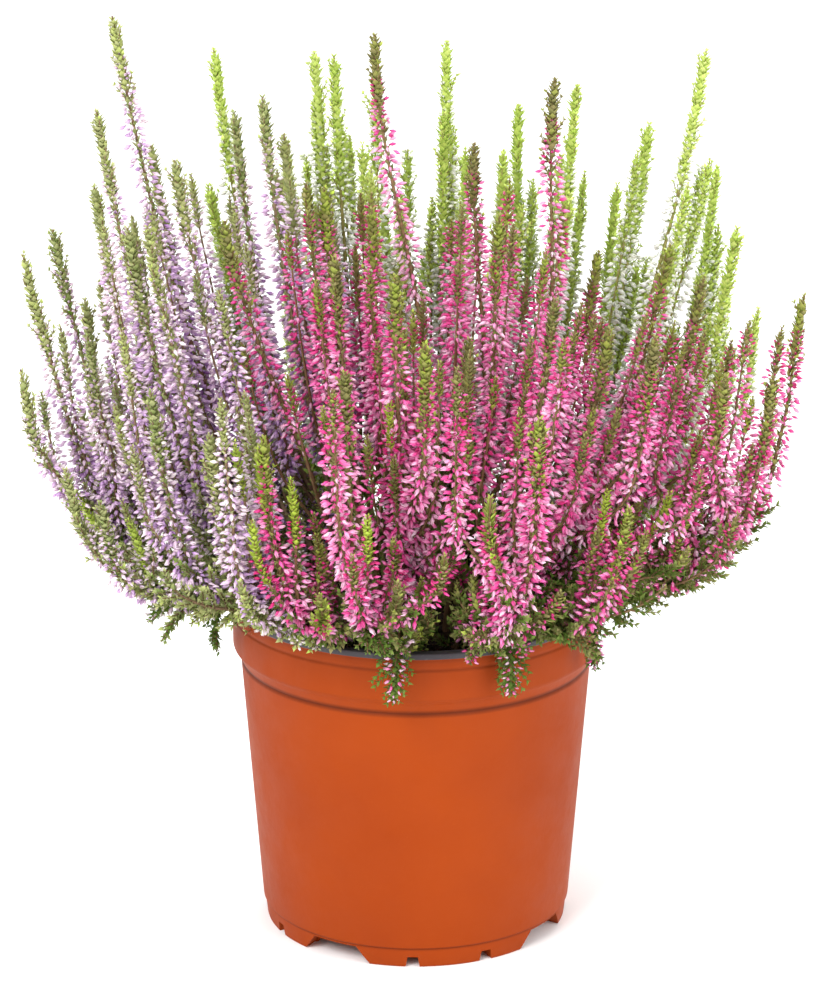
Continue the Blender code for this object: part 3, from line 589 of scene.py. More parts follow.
class Pile:
    """The triangles of one piece, gathered shape by shape."""

    def __init__(self):
        self.points, self.faces, self.palette, self.count = [], [], [], 0

    def take(self, points, faces, palette):
        self.points.append(points)
        self.faces.append(faces + self.count)
        self.palette.append(palette)
        self.count += len(points)

    def add(self, shape, band, origins, bases, sizes, shades):
        """Copies of a shape: bases holds each copy's three directions, sizes its scale."""
        points, faces, across = shape
        if not len(origins):
            return
        placed = np.einsum("vk,nkj->nvj", points, bases) * sizes[:, None, None] + origins[:, None, :]
        inside = ((placed > BOX_LOW) & (placed < BOX_HIGH)).all(axis=(1, 2))
        placed, shades = placed[inside], np.asarray(shades)[inside]
        copies = len(placed)
        many = np.arange(copies)[:, None, None] * len(points) + faces[None]
        low, high = band
        u = np.broadcast_to(low + (high - low) * across, (copies, len(points)))
        v = np.broadcast_to(np.clip(shades, SHADE_LOW, SHADE_HIGH)[:, None], (copies, len(points)))
        self.take(placed.reshape(-1, 3), many.reshape(-1, 3), np.stack((u, v), axis=-1).reshape(-1, 2))

    def tube(self, line, radii, shade, sides):
        """A tapered stem along a line."""
        count = len(line)
        side, across, _ = frame_arrays(line)
        turns = math.tau * np.arange(sides) / sides
        ring = np.cos(turns)[None, :, None] * side[:, None] + np.sin(turns)[None, :, None] * across[:, None]
        points = np.clip(line[:, None] + ring * radii[:, None, None], BOX_LOW, BOX_HIGH)
        faces = []
        for a in range(sides):
            b = (a + 1) % sides
            rows = np.arange(count - 1)[:, None] * sides
            faces.append(rows + np.array([a, b, b + sides]))
            faces.append(rows + np.array([a, b + sides, a + sides]))
        u = BARK[0] + (BARK[1] - BARK[0]) * np.tile(np.linspace(0, 1, sides), count)
        v = np.repeat(np.clip(shade, SHADE_LOW, SHADE_HIGH) * np.ones(count), sides)
        self.take(points.reshape(-1, 3), np.concatenate(faces), np.column_stack((u, v)))


def smooth_line(line, spacing):
    """The line with its corners cut twice, and points evenly apart."""
    for _ in range(2):
        near = 0.75 * line[:-1] + 0.25 * line[1:]
        far = 0.25 * line[:-1] + 0.75 * line[1:]
        inner = np.empty((2 * len(near), 3))
        inner[0::2], inner[1::2] = near, far
        line = np.vstack((line[:1], inner[1:-1], line[-1:]))
    return even_points(line, spacing)


def rooted_deeper(line):
    return np.vstack((line[0] - np.array([0, 0, ROOT_BELOW]), line))


def of_length(directions):
    """The same directions, each one long."""
    return directions / np.linalg.norm(directions, axis=1)[:, None]


def bases_towards(directions, turns):
    """For each direction, its own axis and two more square to it, turned by an angle."""
    axis = of_length(directions)
    steep = np.abs(axis[:, 2:3]) > STEEP
    side = of_length(np.cross(np.where(steep, np.array([[1.0, 0, 0]]), np.array([[0, 0, 1.0]])), axis))
    up = np.cross(axis, side)
    c, s = np.cos(turns)[:, None], np.sin(turns)[:, None]
    return np.stack((axis, c * side + s * up, -s * side + c * up), axis=1)


def leaf_bases(aim, third):
    """The three directions of leaves that point along aim, with their hollows square to third."""
    return np.stack((aim, third, np.cross(aim, third)), axis=1)


class Spike:
    """One stem with what grows on it."""

    def __init__(self, kind, line, draw, shade, lime=False, extra=False):
        self.kind, self.draw, self.shade, self.lime, self.extra = kind, draw, shade, lime, extra
        self.line = smooth_line(line, FINE)
        self.at = along_line(self.line)
        self.length = self.at[-1]
        self.side, self.across, self.way = frame_arrays(self.line)
        self.twist, self.pale = draw.uniform(0, math.tau), 0.0

    def sample(self, at):
        """Places and directions at distances from the foot."""

        def read(table):
            return np.column_stack([np.interp(at, self.at, table[:, i]) for i in range(3)])

        return read(self.line), read(self.side), read(self.across), read(self.way)

    def ranked(self, at, ranks, lift, wobble):
        """Places on the stem at those distances, and directions outwards in ranks, rising by lift."""
        places, side, across, way = self.sample(np.repeat(at, ranks))
        ring = np.repeat(np.arange(len(at)), ranks)
        rank = np.tile(np.arange(ranks), len(at))
        turns = self.twist + math.tau * rank / ranks + ring * math.pi / ranks * RANK_DRIFT
        turns = turns + self.draw.uniform(-wobble, wobble, len(turns))
        out = np.cos(turns)[:, None] * side + np.sin(turns)[:, None] * across
        lifts = lift + self.draw.uniform(-wobble, wobble, len(turns)) * LIFT_WOBBLE
        aim = np.cos(lifts)[:, None] * out + np.sin(lifts)[:, None] * way
        return places, aim, out, way

    def leaves(self, pile, row, first, last, shade):
        """A row of scale leaves between two distances from the foot."""
        pitch, length, lift, ranks = LEAVES[row]
        if last - first < pitch:
            return
        at = np.arange(first, last, pitch)
        places, aim, out, way = self.ranked(at, ranks, lift, LEAF_WOBBLE)
        sizes = length * self.draw.uniform(*SIZES, len(places))
        left = (self.length - at + SHRINK_FROM) / SHRINK_OVER
        sizes = sizes * np.repeat(np.clip(left, SHRUNK, 1), ranks)
        shades = shade + self.draw.uniform(-LEAF_SHADES, LEAF_SHADES, len(places))
        feet = places + out * LEAF_OUT
        pile.add(LEAF_SHAPE, LEAFLET, feet, leaf_bases(aim, np.cross(way, out)), sizes, shades)

    def twigs(self, pile, row, first, last, shade):
        """A row of short leafy side shoots, each a few rings of leaves on a thin stalk."""
        pitch, lengths, lift, leaf = TWIGS[row]
        if last <= first:
            return
        at = np.arange(first, last, pitch)
        at = at + self.draw.uniform(-TWIG_JITTER, TWIG_JITTER, len(at)) * pitch
        at = np.clip(at, 0, self.length - 1)
        places, aim, _, way = self.ranked(at, 1, lift, TWIG_WOBBLE)
        long = self.draw.uniform(*lengths, len(at))
        long = np.minimum(long, np.maximum(TWIG_LEAST, (self.length - at) * TWIG_OF_REST))
        for place, towards, up, reach_out in zip(places, aim, way, long):
            self.twig(pile, place, towards, up, reach_out, shade, leaf)

    def twig(self, pile, place, towards, up, reach_out, shade, leaf):
        """One side shoot, which bends towards the tip of its stem."""
        joints = LONG_JOINTS if reach_out >= LONG_TWIG else SHORT_JOINTS
        share = np.linspace(0, 1, joints)[:, None]
        line = place + reach_out * (towards * share + up * TWIG_BEND * share**2)
        pile.tube(line, np.linspace(*TWIG_RADII, joints), self.shade, THIN_SIDES)
        rings = max(2, int(reach_out / TWIG_PITCH))
        at = np.repeat(np.linspace(TWIG_FIRST, 1.0, rings), TWIG_RANKS)
        spots = place + reach_out * (towards * at[:, None] + up * TWIG_BEND * at[:, None] ** 2)
        way = of_length(towards + up * TWIG_TURN * at[:, None])
        turns = np.tile(np.arange(TWIG_RANKS), rings) * math.tau / TWIG_RANKS
        turns = turns + np.repeat(np.arange(rings), TWIG_RANKS) * TWIG_RING_TURN
        local = bases_towards(way, turns + self.draw.uniform(0, 1))
        aim = local[:, 0] * TWIG_LEAF_AIM[0] + local[:, 1] * TWIG_LEAF_AIM[1]
        sizes = leaf * self.draw.uniform(*SIZES, len(at)) * (1 - TWIG_SHRINK * at)
        shades = shade + self.draw.uniform(-TWIG_SHADES, TWIG_SHADES, len(at)) + TWIG_BRIGHTER * at
        pile.add(LEAF_SHAPE, LEAFLET, spots, leaf_bases(aim, local[:, 2]), sizes, shades)

    def florets(self, pile, first, last):
        """Florets between two distances from the foot: small buds at the tip, hanging a little low down."""
        if last - first < LEAST_BLOOM:
            return
        size = FLORET[self.kind]
        at = np.arange(first, last, size["pitch"])
        near = np.repeat(np.clip((last - at) / BUD_ZONE[self.kind], 0, 1), size["ranks"])
        age = np.repeat(np.clip((last - at) / OLD_AFTER, 0, 1), size["ranks"])
        lift = FLORET_LIFT - FLORET_DROOP * near - FLORET_DROOP * age
        places, aim, out, way = self.ranked(at, size["ranks"], lift, FLORET_WOBBLE)
        kept = self.draw.uniform(0, 1, len(near)) > FLORETS_MISSING
        places, aim, out, way, near, age = (one[kept] for one in (places, aim, out, way, near, age))
        bases = bases_towards(aim, self.draw.uniform(0, math.tau, len(near)))
        grown = (BUD_SIZE + (1 - BUD_SIZE) * near) * self.draw.uniform(*FLORET_SIZES, len(near))
        stalk = self.draw.uniform(*size["stalk"], len(near)) * (BUD_STALK + (1 - BUD_STALK) * near)
        foot = places + out * stalk[:, None]
        pile.add(FLORET_SHAPES[self.kind], PETAL, foot, bases, grown, self.flower_shade(near, age))
        leafy = self.draw.uniform(0, 1, len(near)) < BRACT_SHARE
        self.bracts(pile, places[leafy], aim[leafy], way[leafy], out[leafy])

    def bracts(self, pile, places, aim, way, out):
        """A small green leaf under some of the florets."""
        lower = of_length(aim - way * BRACT_DROP)
        sizes = self.draw.uniform(*BRACT_LENGTHS, len(places))
        shades = LEAF_SHADE[self.kind] + self.draw.uniform(*BRACT_SHADES, len(places))
        feet = places + out * BRACT_OUT
        pile.add(LEAF_SHAPE, LEAFLET, feet, leaf_bases(lower, np.cross(way, out)), sizes, shades)

    def flower_shade(self, near, age):
        """Where on the flower ramp: near and age are 0 at the tip, and 1 in bloom and at the foot."""
        bud, bloom, old, spread = FLOWER_SHADES[self.kind]
        shade = bud + (bloom - bud) * near + (old - bloom) * age + self.pale
        shade = shade + self.draw.uniform(-spread, spread, len(near))
        return shade + self.draw.normal(0, SHADE_NOISE)

    def tip_length(self, bloom):
        """How much of the stem its leafy tip takes up, where the flowers begin at bloom."""
        tip = TIP_LENGTH[self.kind] * self.draw.uniform(*(EXTRA_TIP if self.extra else OWN_TIP))
        left = self.length - bloom
        tip = min(tip, TIP_OF_BLOOM * left) if left > TIP_NEEDS else SHORT_TIP
        if self.lime:
            tip = min(LIME_LENGTH * self.draw.uniform(*LIME_TIP), LIME_OF_STEM * self.length)
        return tip

    def grow(self, pile, rooted, bloom_from, lush):
        """Everything on this stem: bare wood, leafy twigs, florets and a leafy tip."""
        height = self.line[:, 2] - SOIL_TOP
        leafy_from = float(np.interp(BARE_WOOD, height, self.at)) if rooted else BARE_BRANCH
        bloom = max(float(np.interp(bloom_from, np.maximum.accumulate(height), self.at)), leafy_from)
        top = self.length - self.tip_length(bloom)
        radii = np.interp(self.at, (0, self.length), (STEM_RADIUS if rooted else BRANCH_RADIUS, TIP_RADIUS))
        pile.tube(self.line, radii, self.shade, THIN_SIDES if self.extra else STEM_SIDES)
        green = FOOT_SHADE[self.kind] + self.draw.uniform(*GREEN_SHADES)
        shoot = (self.lime or TIP_SHADE[self.kind]) + self.draw.uniform(*TIP_SHADES)
        self.leaves(pile, "lush_foot" if lush else "foot", leafy_from, bloom, green)
        if lush:
            self.twigs(pile, "foot", leafy_from, min(bloom + FOOT_TWIGS_OVER, top), green)
            self.leaves(pile, "in_bloom", bloom, top, green + BLOOM_LEAVES_PALER)
        self.florets(pile, bloom, top + MINGLED[self.kind])
        lower = top - TIP_LEAVES_UNDER
        if not self.extra and self.kind != "white":
            self.leaves(pile, "under_tip", max(bloom, top - CLOTHED), lower, shoot - UNDER_TIP_DARKER)
        self.leaves(pile, "extra_tip" if self.extra else "tip", max(bloom, lower), self.length, shoot)
        if not self.extra or self.kind == "white":
            first, last = max(bloom, top - TIP_TWIGS_UNDER), self.length - TIP_TWIGS_END
            self.twigs(pile, "tip", first, last, shoot - TIP_TWIGS_DARKER)


def fan_place(tip):
    """A tip's fixed place in the plan of the fan: its share of the radius, and its direction."""
    x, y, z, lean = tip
    top = z - SOIL_TOP
    side, back = x - lean, y / float(depth_share(top))
    share = share_of(math.hypot(side, back), top)
    return plan_spot(share, math.atan2(back, side))


def plan_spot(share, turn):
    return np.array([share * math.cos(turn), share * math.sin(turn)])


def placed_tip(share, turn, top):
    """The tip at a place in the fan, at a height above the soil."""
    radius = float(reach(share, top))
    back = radius * math.sin(turn) * float(depth_share(top))
    return (radius * math.cos(turn), back, top + SOIL_TOP, 0.0)


def extra_tips(sprays):
    """Tips of more stems, each with the spray that it grows on and no shade of its own."""
    places, heights, owners = [], [], []
    for index, spray in enumerate(sprays):
        for tip in spray.get("tips", ()):
            places.append(fan_place(tip))
            heights.append(tip[2])
            owners.append(index)
    own = np.array(places)
    draw = random.Random(f"{SEED} extra")
    found = free_tips(sprays, draw, places, heights, owners)
    found += white_companions(sprays, draw)
    for number in range(SKIRT_TIPS):
        share = draw.uniform(*SKIRT_SHARES)
        turn = math.tau * (number + draw.uniform(0, 1)) / SKIRT_TIPS
        turn -= SKIRT_CROWDING * math.sin(2 * turn)
        near = int(np.argmin(np.linalg.norm(own - plan_spot(share, turn), axis=1)))
        found.append((owners[near], placed_tip(share, turn, draw.uniform(*SKIRT_HEIGHTS)), False))
    return found


def free_tips(sprays, draw, places, heights, owners):
    """Tips in the free places of the fan, a little lower than the tips round them."""
    places, heights = list(places), np.array(heights)
    own = len(places)
    found = []
    for _ in range(EXTRA_TRIES):
        share, turn = EXTRA_REACH * math.sqrt(draw.random()), draw.uniform(0, math.tau)
        spot = plan_spot(share, turn)
        far = np.linalg.norm(np.array(places) - spot, axis=1)
        if far.min() < EXTRA_SPACING:
            continue
        near = np.argsort(far[:own])[:EXTRA_NEIGHBOURS]
        weight = 1 / (far[near] + NEIGHBOUR_ROOM)
        owner = owners[near[0]]
        z = float((heights[near] * weight).sum() / weight.sum())
        z -= draw.uniform(*EXTRA_LOWER[sprays[owner]["kind"]])
        places.append(spot)
        found.append((owner, placed_tip(share, turn, max(z - SOIL_TOP, EXTRA_LEAST)), False))
    return found


def white_companions(sprays, draw):
    """Lower tips close to each tall white tip."""
    found = []
    for owner, spray in enumerate(sprays):
        if spray["kind"] != "white":
            continue
        for x, y, z, lean in spray["tips"]:
            for _ in range(WHITE_COMPANIONS if z > COMPANIONS_FROM else 0):
                lower = min(draw.uniform(*COMPANION_LOWER), COMPANION_LOWEST * (z - SOIL_TOP))
                beside, behind = (draw.gauss(0, spread) for spread in COMPANION_ASIDE)
                found.append((owner, (x + beside, y + behind, z - lower, lean), False))
    return found


def short_tips(sprays):
    """The short tips that stand out in front, each with the nearest spray and its shade."""
    found = []
    for tips, shade in SHORT_TIPS:
        for x, y, z in tips:
            tip = (x, y, z, 0.0)
            spot = fan_place(tip)
            best = min(
                (np.linalg.norm(fan_place(own) - spot), index)
                for index, spray in enumerate(sprays)
                for own in spray.get("tips", ())[:1]
            )
            found.append((best[1], tip, shade))
    return found


def branch_line(main, tip):
    """A stem that leaves a spray's own stem low down and ends at the tip."""
    top = tip[2] - SOIL_TOP
    heights = np.linspace(0.0, top, BRANCH_POINTS)
    own = fan_line(tip, heights)
    fork = max(BRANCH_FROM * top, BRANCH_LOWEST)
    blend = min(FORK_BLEND, FORK_BLEND_SHARE * (top - fork))
    level = np.maximum.accumulate(main[:, 2])
    shared = np.column_stack([np.interp(heights + SOIL_TOP, level, main[:, i]) for i in range(3)])
    shared[:, 2] = heights + SOIL_TOP
    share = smooth_step((heights - fork) / blend)[:, None]
    return even_points((shared + (own - shared) * share)[heights >= fork], SAMPLE)


def fine_spray(spray, branches, materials):
    """One spray as a fine piece, in the place of its solid."""
    name, kind = spray["name"], spray["kind"]
    draw = np.random.default_rng(sum(ord(letter) * (place + 3) for place, letter in enumerate(name)))
    pile = Pile()
    if kind == "sprig":
        grow_sprig(pile, spray["lines"][0], draw)
        return piece_from(pile, f"fine_{name}", materials["magenta"])
    main = spray["lines"][0]
    stems = [(rooted_deeper(main), True, False, False)]
    stems += [(line, False, False, False) for line in spray["lines"][1:]]
    stems += [(branch_line(main, tip), False, lime, True) for tip, lime in branches]
    for line, rooted, lime, extra in stems:
        end = line[-1]
        outer = np.linalg.norm(fan_place((*end, 0.0))) > LUSH_FROM
        spike = Spike(kind, line, draw, draw.uniform(*BARK_SHADES), lime, extra)
        front = outer and abs(math.atan2(end[0], -end[1])) < FRONT_HALF_ANGLE
        bloom = BLOOM_FRONT if front else BLOOM_OUTER if outer else BLOOM_INNER
        spike.grow(pile, rooted, draw.uniform(*bloom), outer)
        if rooted and outer:
            foot_shoots(pile, kind, line, draw)
    return piece_from(pile, f"fine_{name}", materials[kind])


def foot_shoots(pile, kind, line, draw):
    """Short leafy shoots round the foot of a spray, some of them in flower at the front."""
    sprig = kind == "sprig"
    along = along_line(line)
    for _ in range(SPRIG_SHOOTS if sprig else FOOT_SHOOTS):
        at = draw.uniform(*(SPRIG_SHOOT_FROM if sprig else SHOOT_FROM))
        start = np.array([np.interp(at, along, line[:, axis]) for axis in range(3)])
        outward = math.atan2(start[1], start[0]) + draw.normal(0, SPRIG_SHOOT_ASIDE if sprig else SHOOT_ASIDE)
        out = np.array([math.cos(outward), math.sin(outward), 0])
        long = draw.uniform(*FOOT_SHOOT_LENGTHS)
        rise = draw.uniform(*SHOOT_RISE)
        if sprig:
            long, rise = long * SPRIG_SHOOT_SIZE, draw.uniform(*SPRIG_SHOOT_RISE)
        elif math.hypot(start[0], start[1]) > RIM_RADIUS - RIM_ZONE:
            long, rise = long * HANGING_SIZE, draw.uniform(*HANGING_RISE)
        share = np.linspace(0, 1, SHOOT_POINTS)[:, None]
        lift = np.array([0, 0, rise]) * share**SHOOT_RISE_POWER
        line_out = start + long * (out * share * (1 - SHOOT_CURVE * share) + lift)
        shoot = Spike(kind, line_out, draw, SHOOT_BARK)
        shade = FOOT_SHADE[kind] + draw.uniform(*SHOOT_SHADES)
        pile.tube(shoot.line, np.linspace(*SHOOT_RADII, len(shoot.line)), SHOOT_BARK, THIN_SIDES)
        shoot.leaves(pile, "shoot", SHOOT_LEAVES_FROM, shoot.length, shade)
        last = shoot.length - TWIGS_END
        shoot.twigs(pile, "shoot", SHOOT_LEAVES_FROM, last, shade + SHOOT_TWIGS_PALER)
        if not sprig and start[1] < FLOWERING_FOOT_Y and draw.uniform(0, 1) < FLOWERING_SHARE:
            shoot.pale = FLOWERING_PALE
            shoot.florets(pile, SHOOT_BLOOM_FROM, shoot.length - SHOOT_BLOOM_END)


def grow_sprig(pile, line, draw):
    """A leafy sprig over the rim, with pale flowers at the front."""
    line = rooted_deeper(line)
    sprig = Spike("sprig", line, draw, SHOOT_BARK)
    pile.tube(sprig.line, np.linspace(*SPRIG_RADII, len(sprig.line)), SHOOT_BARK, STEM_SIDES)
    sprig.leaves(pile, "sprig", SPRIG_BARE, sprig.length, SPRIG_SHADE)
    sprig.twigs(pile, "sprig", SPRIG_BARE, sprig.length - TWIGS_END, SPRIG_SHADE)
    foot_shoots(pile, "sprig", line, draw)
    if line[-1][1] < 0 and line[-1][0] > FRONT_SPRIG_FROM:
        sprig.kind, sprig.pale = "magenta", FRONT_SPRIG_PALE
        sprig.florets(pile, FRONT_SPRIG_BLOOM * sprig.length, sprig.length - FRONT_SPRIG_END)


def put_in_scene(name, data):
    """A mesh, light or camera as an object of the scene."""
    item = bpy.data.objects.new(name, data)
    bpy.context.scene.collection.objects.link(item)
    return item


def piece_from(pile, name, material):
    """The gathered triangles as one object."""
    points = np.concatenate(pile.points) * MM
    faces = np.concatenate(pile.faces)
    palette = np.concatenate(pile.palette)
    mesh = bpy.data.meshes.new(name)
    mesh.vertices.add(len(points))
    mesh.vertices.foreach_set("co", points.astype(np.float32).ravel())
    mesh.loops.add(faces.size)
    mesh.loops.foreach_set("vertex_index", faces.astype(np.int32).ravel())
    mesh.polygons.add(len(faces))
    mesh.polygons.foreach_set("loop_start", np.arange(0, faces.size, 3, dtype=np.int32))
    mesh.update(calc_edges=True)
    layer = mesh.uv_layers.new(name="OFBake")
    layer.data.foreach_set("uv", palette[faces.ravel()].astype(np.float32).ravel())
    mesh.validate()
    mesh.materials.append(material)
    return put_in_scene(name, mesh)


# Materials

SPECULAR, NOISE_ROUGHNESS = 0.15, 0.55
MIX_SOCKETS, MIX_RESULT = (0, 6, 7), 2  # of a colour mix: its factor and two colours, and what comes out
BLACK = (0.0, 0.0, 0.0, 1.0)

# Where petals turn to their tip colour and to bark at their foot, and how leaves darken at their foot
PETAL_TIP_FROM, PETAL_FOOT_TO = 0.35, 0.3
LEAF_FOOT = (0.7, 0.0, 0.0, 0.38)
HEATHER_ROUGHNESS, ROUGHNESS_ACROSS = 0.6, (0.3, 0.8, 0.5, 0.8)
# For every noise its scale, detail and roughness, and for every range from, to, to low and to high
VEINS, VEIN_RANGE = (60.0, 2.0), (0.3, 0.7, 0.0, 0.15)
CLOUDS, CLOUD_RANGE, CLOUD_HEIGHT = (22.0, 4.0), (0.32, 0.68), 0.6
GRAIN, GRAIN_RANGE = (900.0, 2.0), (0.62, 0.85, 0.0, 0.25)
SCUFFS, SCUFF_RANGE = (70.0, 6.0, 0.7), (0.35, 0.7)
PIMPLES, POT_BUMP = (420.0, 3.0), (0.12, 0.0006)
# the colour of the painted shade in the pot's creases
PAINTED_CREASE_SHADE = (72, 22, 0)
CRUMBLES, CRUMBLE_RANGE, SOIL_BUMP = (260.0, 8.0, 0.7), (0.3, 0.8, 0.75, 1.0), (0.8, 0.0012)
DAMP, DAMP_RANGE, DAMP_COLOUR = (30.0, 3.0), (0.4, 0.7, 0.0, 0.5), (20, 14, 10)
SOIL_ROUGHNESS, SOIL_PLACES = 0.95, (0.3, 0.5, 0.66, 0.8)
SOIL_COLOURS = ((22, 15, 11), (48, 34, 25), (84, 63, 46), (120, 96, 72))

# Each kind's ramps by shade: the places of the petal colours, and the colours of petals, petal tips,
# leaves and bark, as 0 to 255 on a screen
LEAF_PLACES, BARK_PLACES = (0.0, 0.35, 0.6, 0.85, 1.0), (0.0, 0.5, 1.0)
PALETTES = {
    "mauve": (
        (0.0, 0.3, 0.65, 1.0),
        ((156, 104, 178), (198, 152, 214), (230, 196, 224), (251, 234, 236)),
        ((202, 160, 214), (232, 200, 236), (250, 232, 242), (255, 252, 250)),
        ((62, 86, 30), (114, 148, 50), (192, 194, 138), (194, 218, 90), (210, 232, 110)),
        ((98, 76, 54), (138, 112, 88), (174, 148, 122)),
    ),
    "white": (
        (0.0, 0.4, 0.7, 1.0),
        ((176, 204, 110), (222, 232, 184), (244, 247, 230), (252, 252, 247)),
        ((204, 222, 130), (236, 242, 208), (251, 252, 243), (255, 255, 253)),
        ((84, 112, 44), (136, 168, 76), (178, 208, 88), (212, 233, 120), (230, 244, 152)),
        ((118, 108, 60), (156, 148, 90), (190, 184, 124)),
    ),
    "magenta": (
        (0.0, 0.3, 0.65, 1.0),
        ((208, 34, 108), (240, 76, 158), (249, 144, 200), (253, 212, 234)),
        ((220, 64, 136), (242, 118, 186), (252, 192, 224), (255, 242, 248)),
        ((60, 82, 34), (108, 136, 54), (156, 146, 98), (184, 208, 76), (202, 224, 92)),
        ((92, 68, 46), (130, 100, 72), (168, 136, 102)),
    ),
}


def srgb(red, green, blue):
    """A colour given as 0 to 255 on a screen, in linear light."""
    out = []
    for value in (red, green, blue):
        value /= 255
        out.append(value / 12.92 if value <= 0.04045 else ((value + 0.055) / 1.055) ** 2.4)
    return (*out, 1.0)


class Look:
    """A Principled material and short ways to add nodes to it."""

    def __init__(self, name, roughness):
        self.material = bpy.data.materials.new(name)
        self.material.use_nodes = True
        self.tree = self.material.node_tree
        self.shader = self.tree.nodes["Principled BSDF"]
        self.shader.inputs["Roughness"].default_value = roughness
        self.shader.inputs["Metallic"].default_value = 0.0
        self.shader.inputs["Specular IOR Level"].default_value = SPECULAR

    def node(self, kind, **settings):
        made = self.tree.nodes.new(kind)
        for key, value in settings.items():
            setattr(made, key, value)
        return made

    def link(self, source, target):
        self.tree.links.new(source, target)

    def fill(self, socket, given):
        """Gives a socket a fixed value, or links it to another node."""
        if isinstance(given, (int, float, tuple)):
            socket.default_value = given
        else:
            self.link(given, socket)

    def ramp(self, factor, places, colours):
        made = self.node("ShaderNodeValToRGB")
        elements = made.color_ramp.elements
        while len(elements) < len(places):
            elements.new(0.5)
        for element, place, colour in zip(elements, places, colours):
            element.position = place
            element.color = srgb(*colour)
        self.link(factor, made.inputs[0])
        return made.outputs[0]

    def map(self, value, low, high, to_low=0.0, to_high=1.0):
        made = self.node("ShaderNodeMapRange")
        for place, number in enumerate((low, high, to_low, to_high), 1):
            made.inputs[place].default_value = number
        self.link(value, made.inputs[0])
        return made.outputs[0]

    def mix(self, *given):
        """One colour mixed with another, from a factor and the two."""
        made = self.node("ShaderNodeMix", data_type="RGBA")
        for place, value in zip(MIX_SOCKETS, given):
            self.fill(made.inputs[place], value)
        return made.outputs[MIX_RESULT]

    def math(self, operation, *given):
        made = self.node("ShaderNodeMath", operation=operation)
        for socket, value in zip(made.inputs, given):
            self.fill(socket, value)
        return made.outputs[0]

    def noise(self, vector, scale, detail, rough=NOISE_ROUGHNESS):
        made = self.node("ShaderNodeTexNoise")
        made.inputs["Scale"].default_value = scale
        made.inputs["Detail"].default_value = detail
        made.inputs["Roughness"].default_value = rough
        self.link(vector, made.inputs["Vector"])
        return made.outputs["Fac"]

    def bump(self, height, strength, distance):
        made = self.node("ShaderNodeBump")
        made.inputs["Strength"].default_value = strength
        made.inputs["Distance"].default_value = distance
        self.link(height, made.inputs["Height"])
        self.link(made.outputs[0], self.shader.inputs["Normal"])

    def colour(self, source):
        self.link(source, self.shader.inputs["Base Color"])

    def roughness(self, source):
        self.link(source, self.shader.inputs["Roughness"])

    def parts(self, vector):
        """The three parts of a vector."""
        split = self.node("ShaderNodeSeparateXYZ")
        self.link(vector, split.inputs[0])
        return split.outputs

    def object_place(self):
        return self.node("ShaderNodeTexCoord").outputs["Object"]


def heather_look(name, places, petals, petal_tips, leaves, bark):
    """Petals, leaves and bark of one kind, coloured by place across and shade."""
    look = Look(name, HEATHER_ROUGHNESS)
    place = look.node("ShaderNodeUVMap", uv_map="OFBake").outputs[0]
    across, shade, _ = look.parts(place)
    petal = look.map(across, *PETAL)
    veins = look.noise(place, *VEINS)
    body = look.ramp(shade, places, petals)
    tips = look.ramp(shade, places, petal_tips)
    flower = look.mix(look.map(petal, PETAL_TIP_FROM, 1.0), body, tips)
    flower = look.mix(look.map(petal, PETAL_FOOT_TO, 0.0), flower, srgb(*bark[1]))
    leaf_place = look.map(across, *LEAFLET)
    leaf = look.ramp(shade, LEAF_PLACES, leaves)
    leaf = look.mix(look.map(leaf_place, *LEAF_FOOT), leaf, srgb(*leaves[0]))
    wood = look.ramp(shade, BARK_PLACES, bark)
    is_leaf = look.math("GREATER_THAN", across, (PETAL[1] + LEAFLET[0]) / 2)
    is_wood = look.math("GREATER_THAN", across, (LEAFLET[1] + BARK[0]) / 2)
    colour = look.mix(is_wood, look.mix(is_leaf, flower, leaf), wood)
    look.colour(look.mix(look.map(veins, *VEIN_RANGE), colour, BLACK))
    look.roughness(look.map(across, *ROUGHNESS_ACROSS))
    return look.material


def pot_look(name, low, high, rough, fleck, lines):
    """Formed plastic: faint clouds of colour, fine grain and scuffs, and painted shade that darkens the
    creases at given heights.
    """
    look = Look(name, rough[0])
    place = look.object_place()
    clouds = look.noise(place, *CLOUDS)
    colour = look.mix(look.map(clouds, *CLOUD_RANGE), srgb(*low), srgb(*high))
    grain = look.noise(place, *GRAIN)
    colour = look.mix(look.map(grain, *GRAIN_RANGE), colour, srgb(*fleck))
    upright = look.parts(place)[2]
    # painted shade: each crease is darkened towards a fixed colour in a band round its height
    for height, half, depth in lines:
        away = look.math("ABSOLUTE", look.math("SUBTRACT", upright, height * MM), 0.0)
        crease = look.map(away, half * MM, 0.0, 0.0, depth)
        colour = look.mix(crease, colour, srgb(*PAINTED_CREASE_SHADE))
    look.colour(colour)
    look.roughness(look.map(look.noise(place, *SCUFFS), *SCUFF_RANGE, *rough))
    pimples = look.noise(place, *PIMPLES)
    look.bump(look.math("ADD", pimples, look.math("MULTIPLY", clouds, CLOUD_HEIGHT)), *POT_BUMP)
    return look.material


def soil_look():
    look = Look("potting_soil", SOIL_ROUGHNESS)
    place = look.object_place()
    crumbs = look.noise(place, *CRUMBLES)
    colour = look.ramp(crumbs, SOIL_PLACES, SOIL_COLOURS)
    damp = look.noise(place, *DAMP)
    look.colour(look.mix(look.map(damp, *DAMP_RANGE), colour, srgb(*DAMP_COLOUR)))
    look.roughness(look.map(crumbs, *CRUMBLE_RANGE))
    look.bump(crumbs, *SOIL_BUMP)
    return look.material


# The pot and the soil

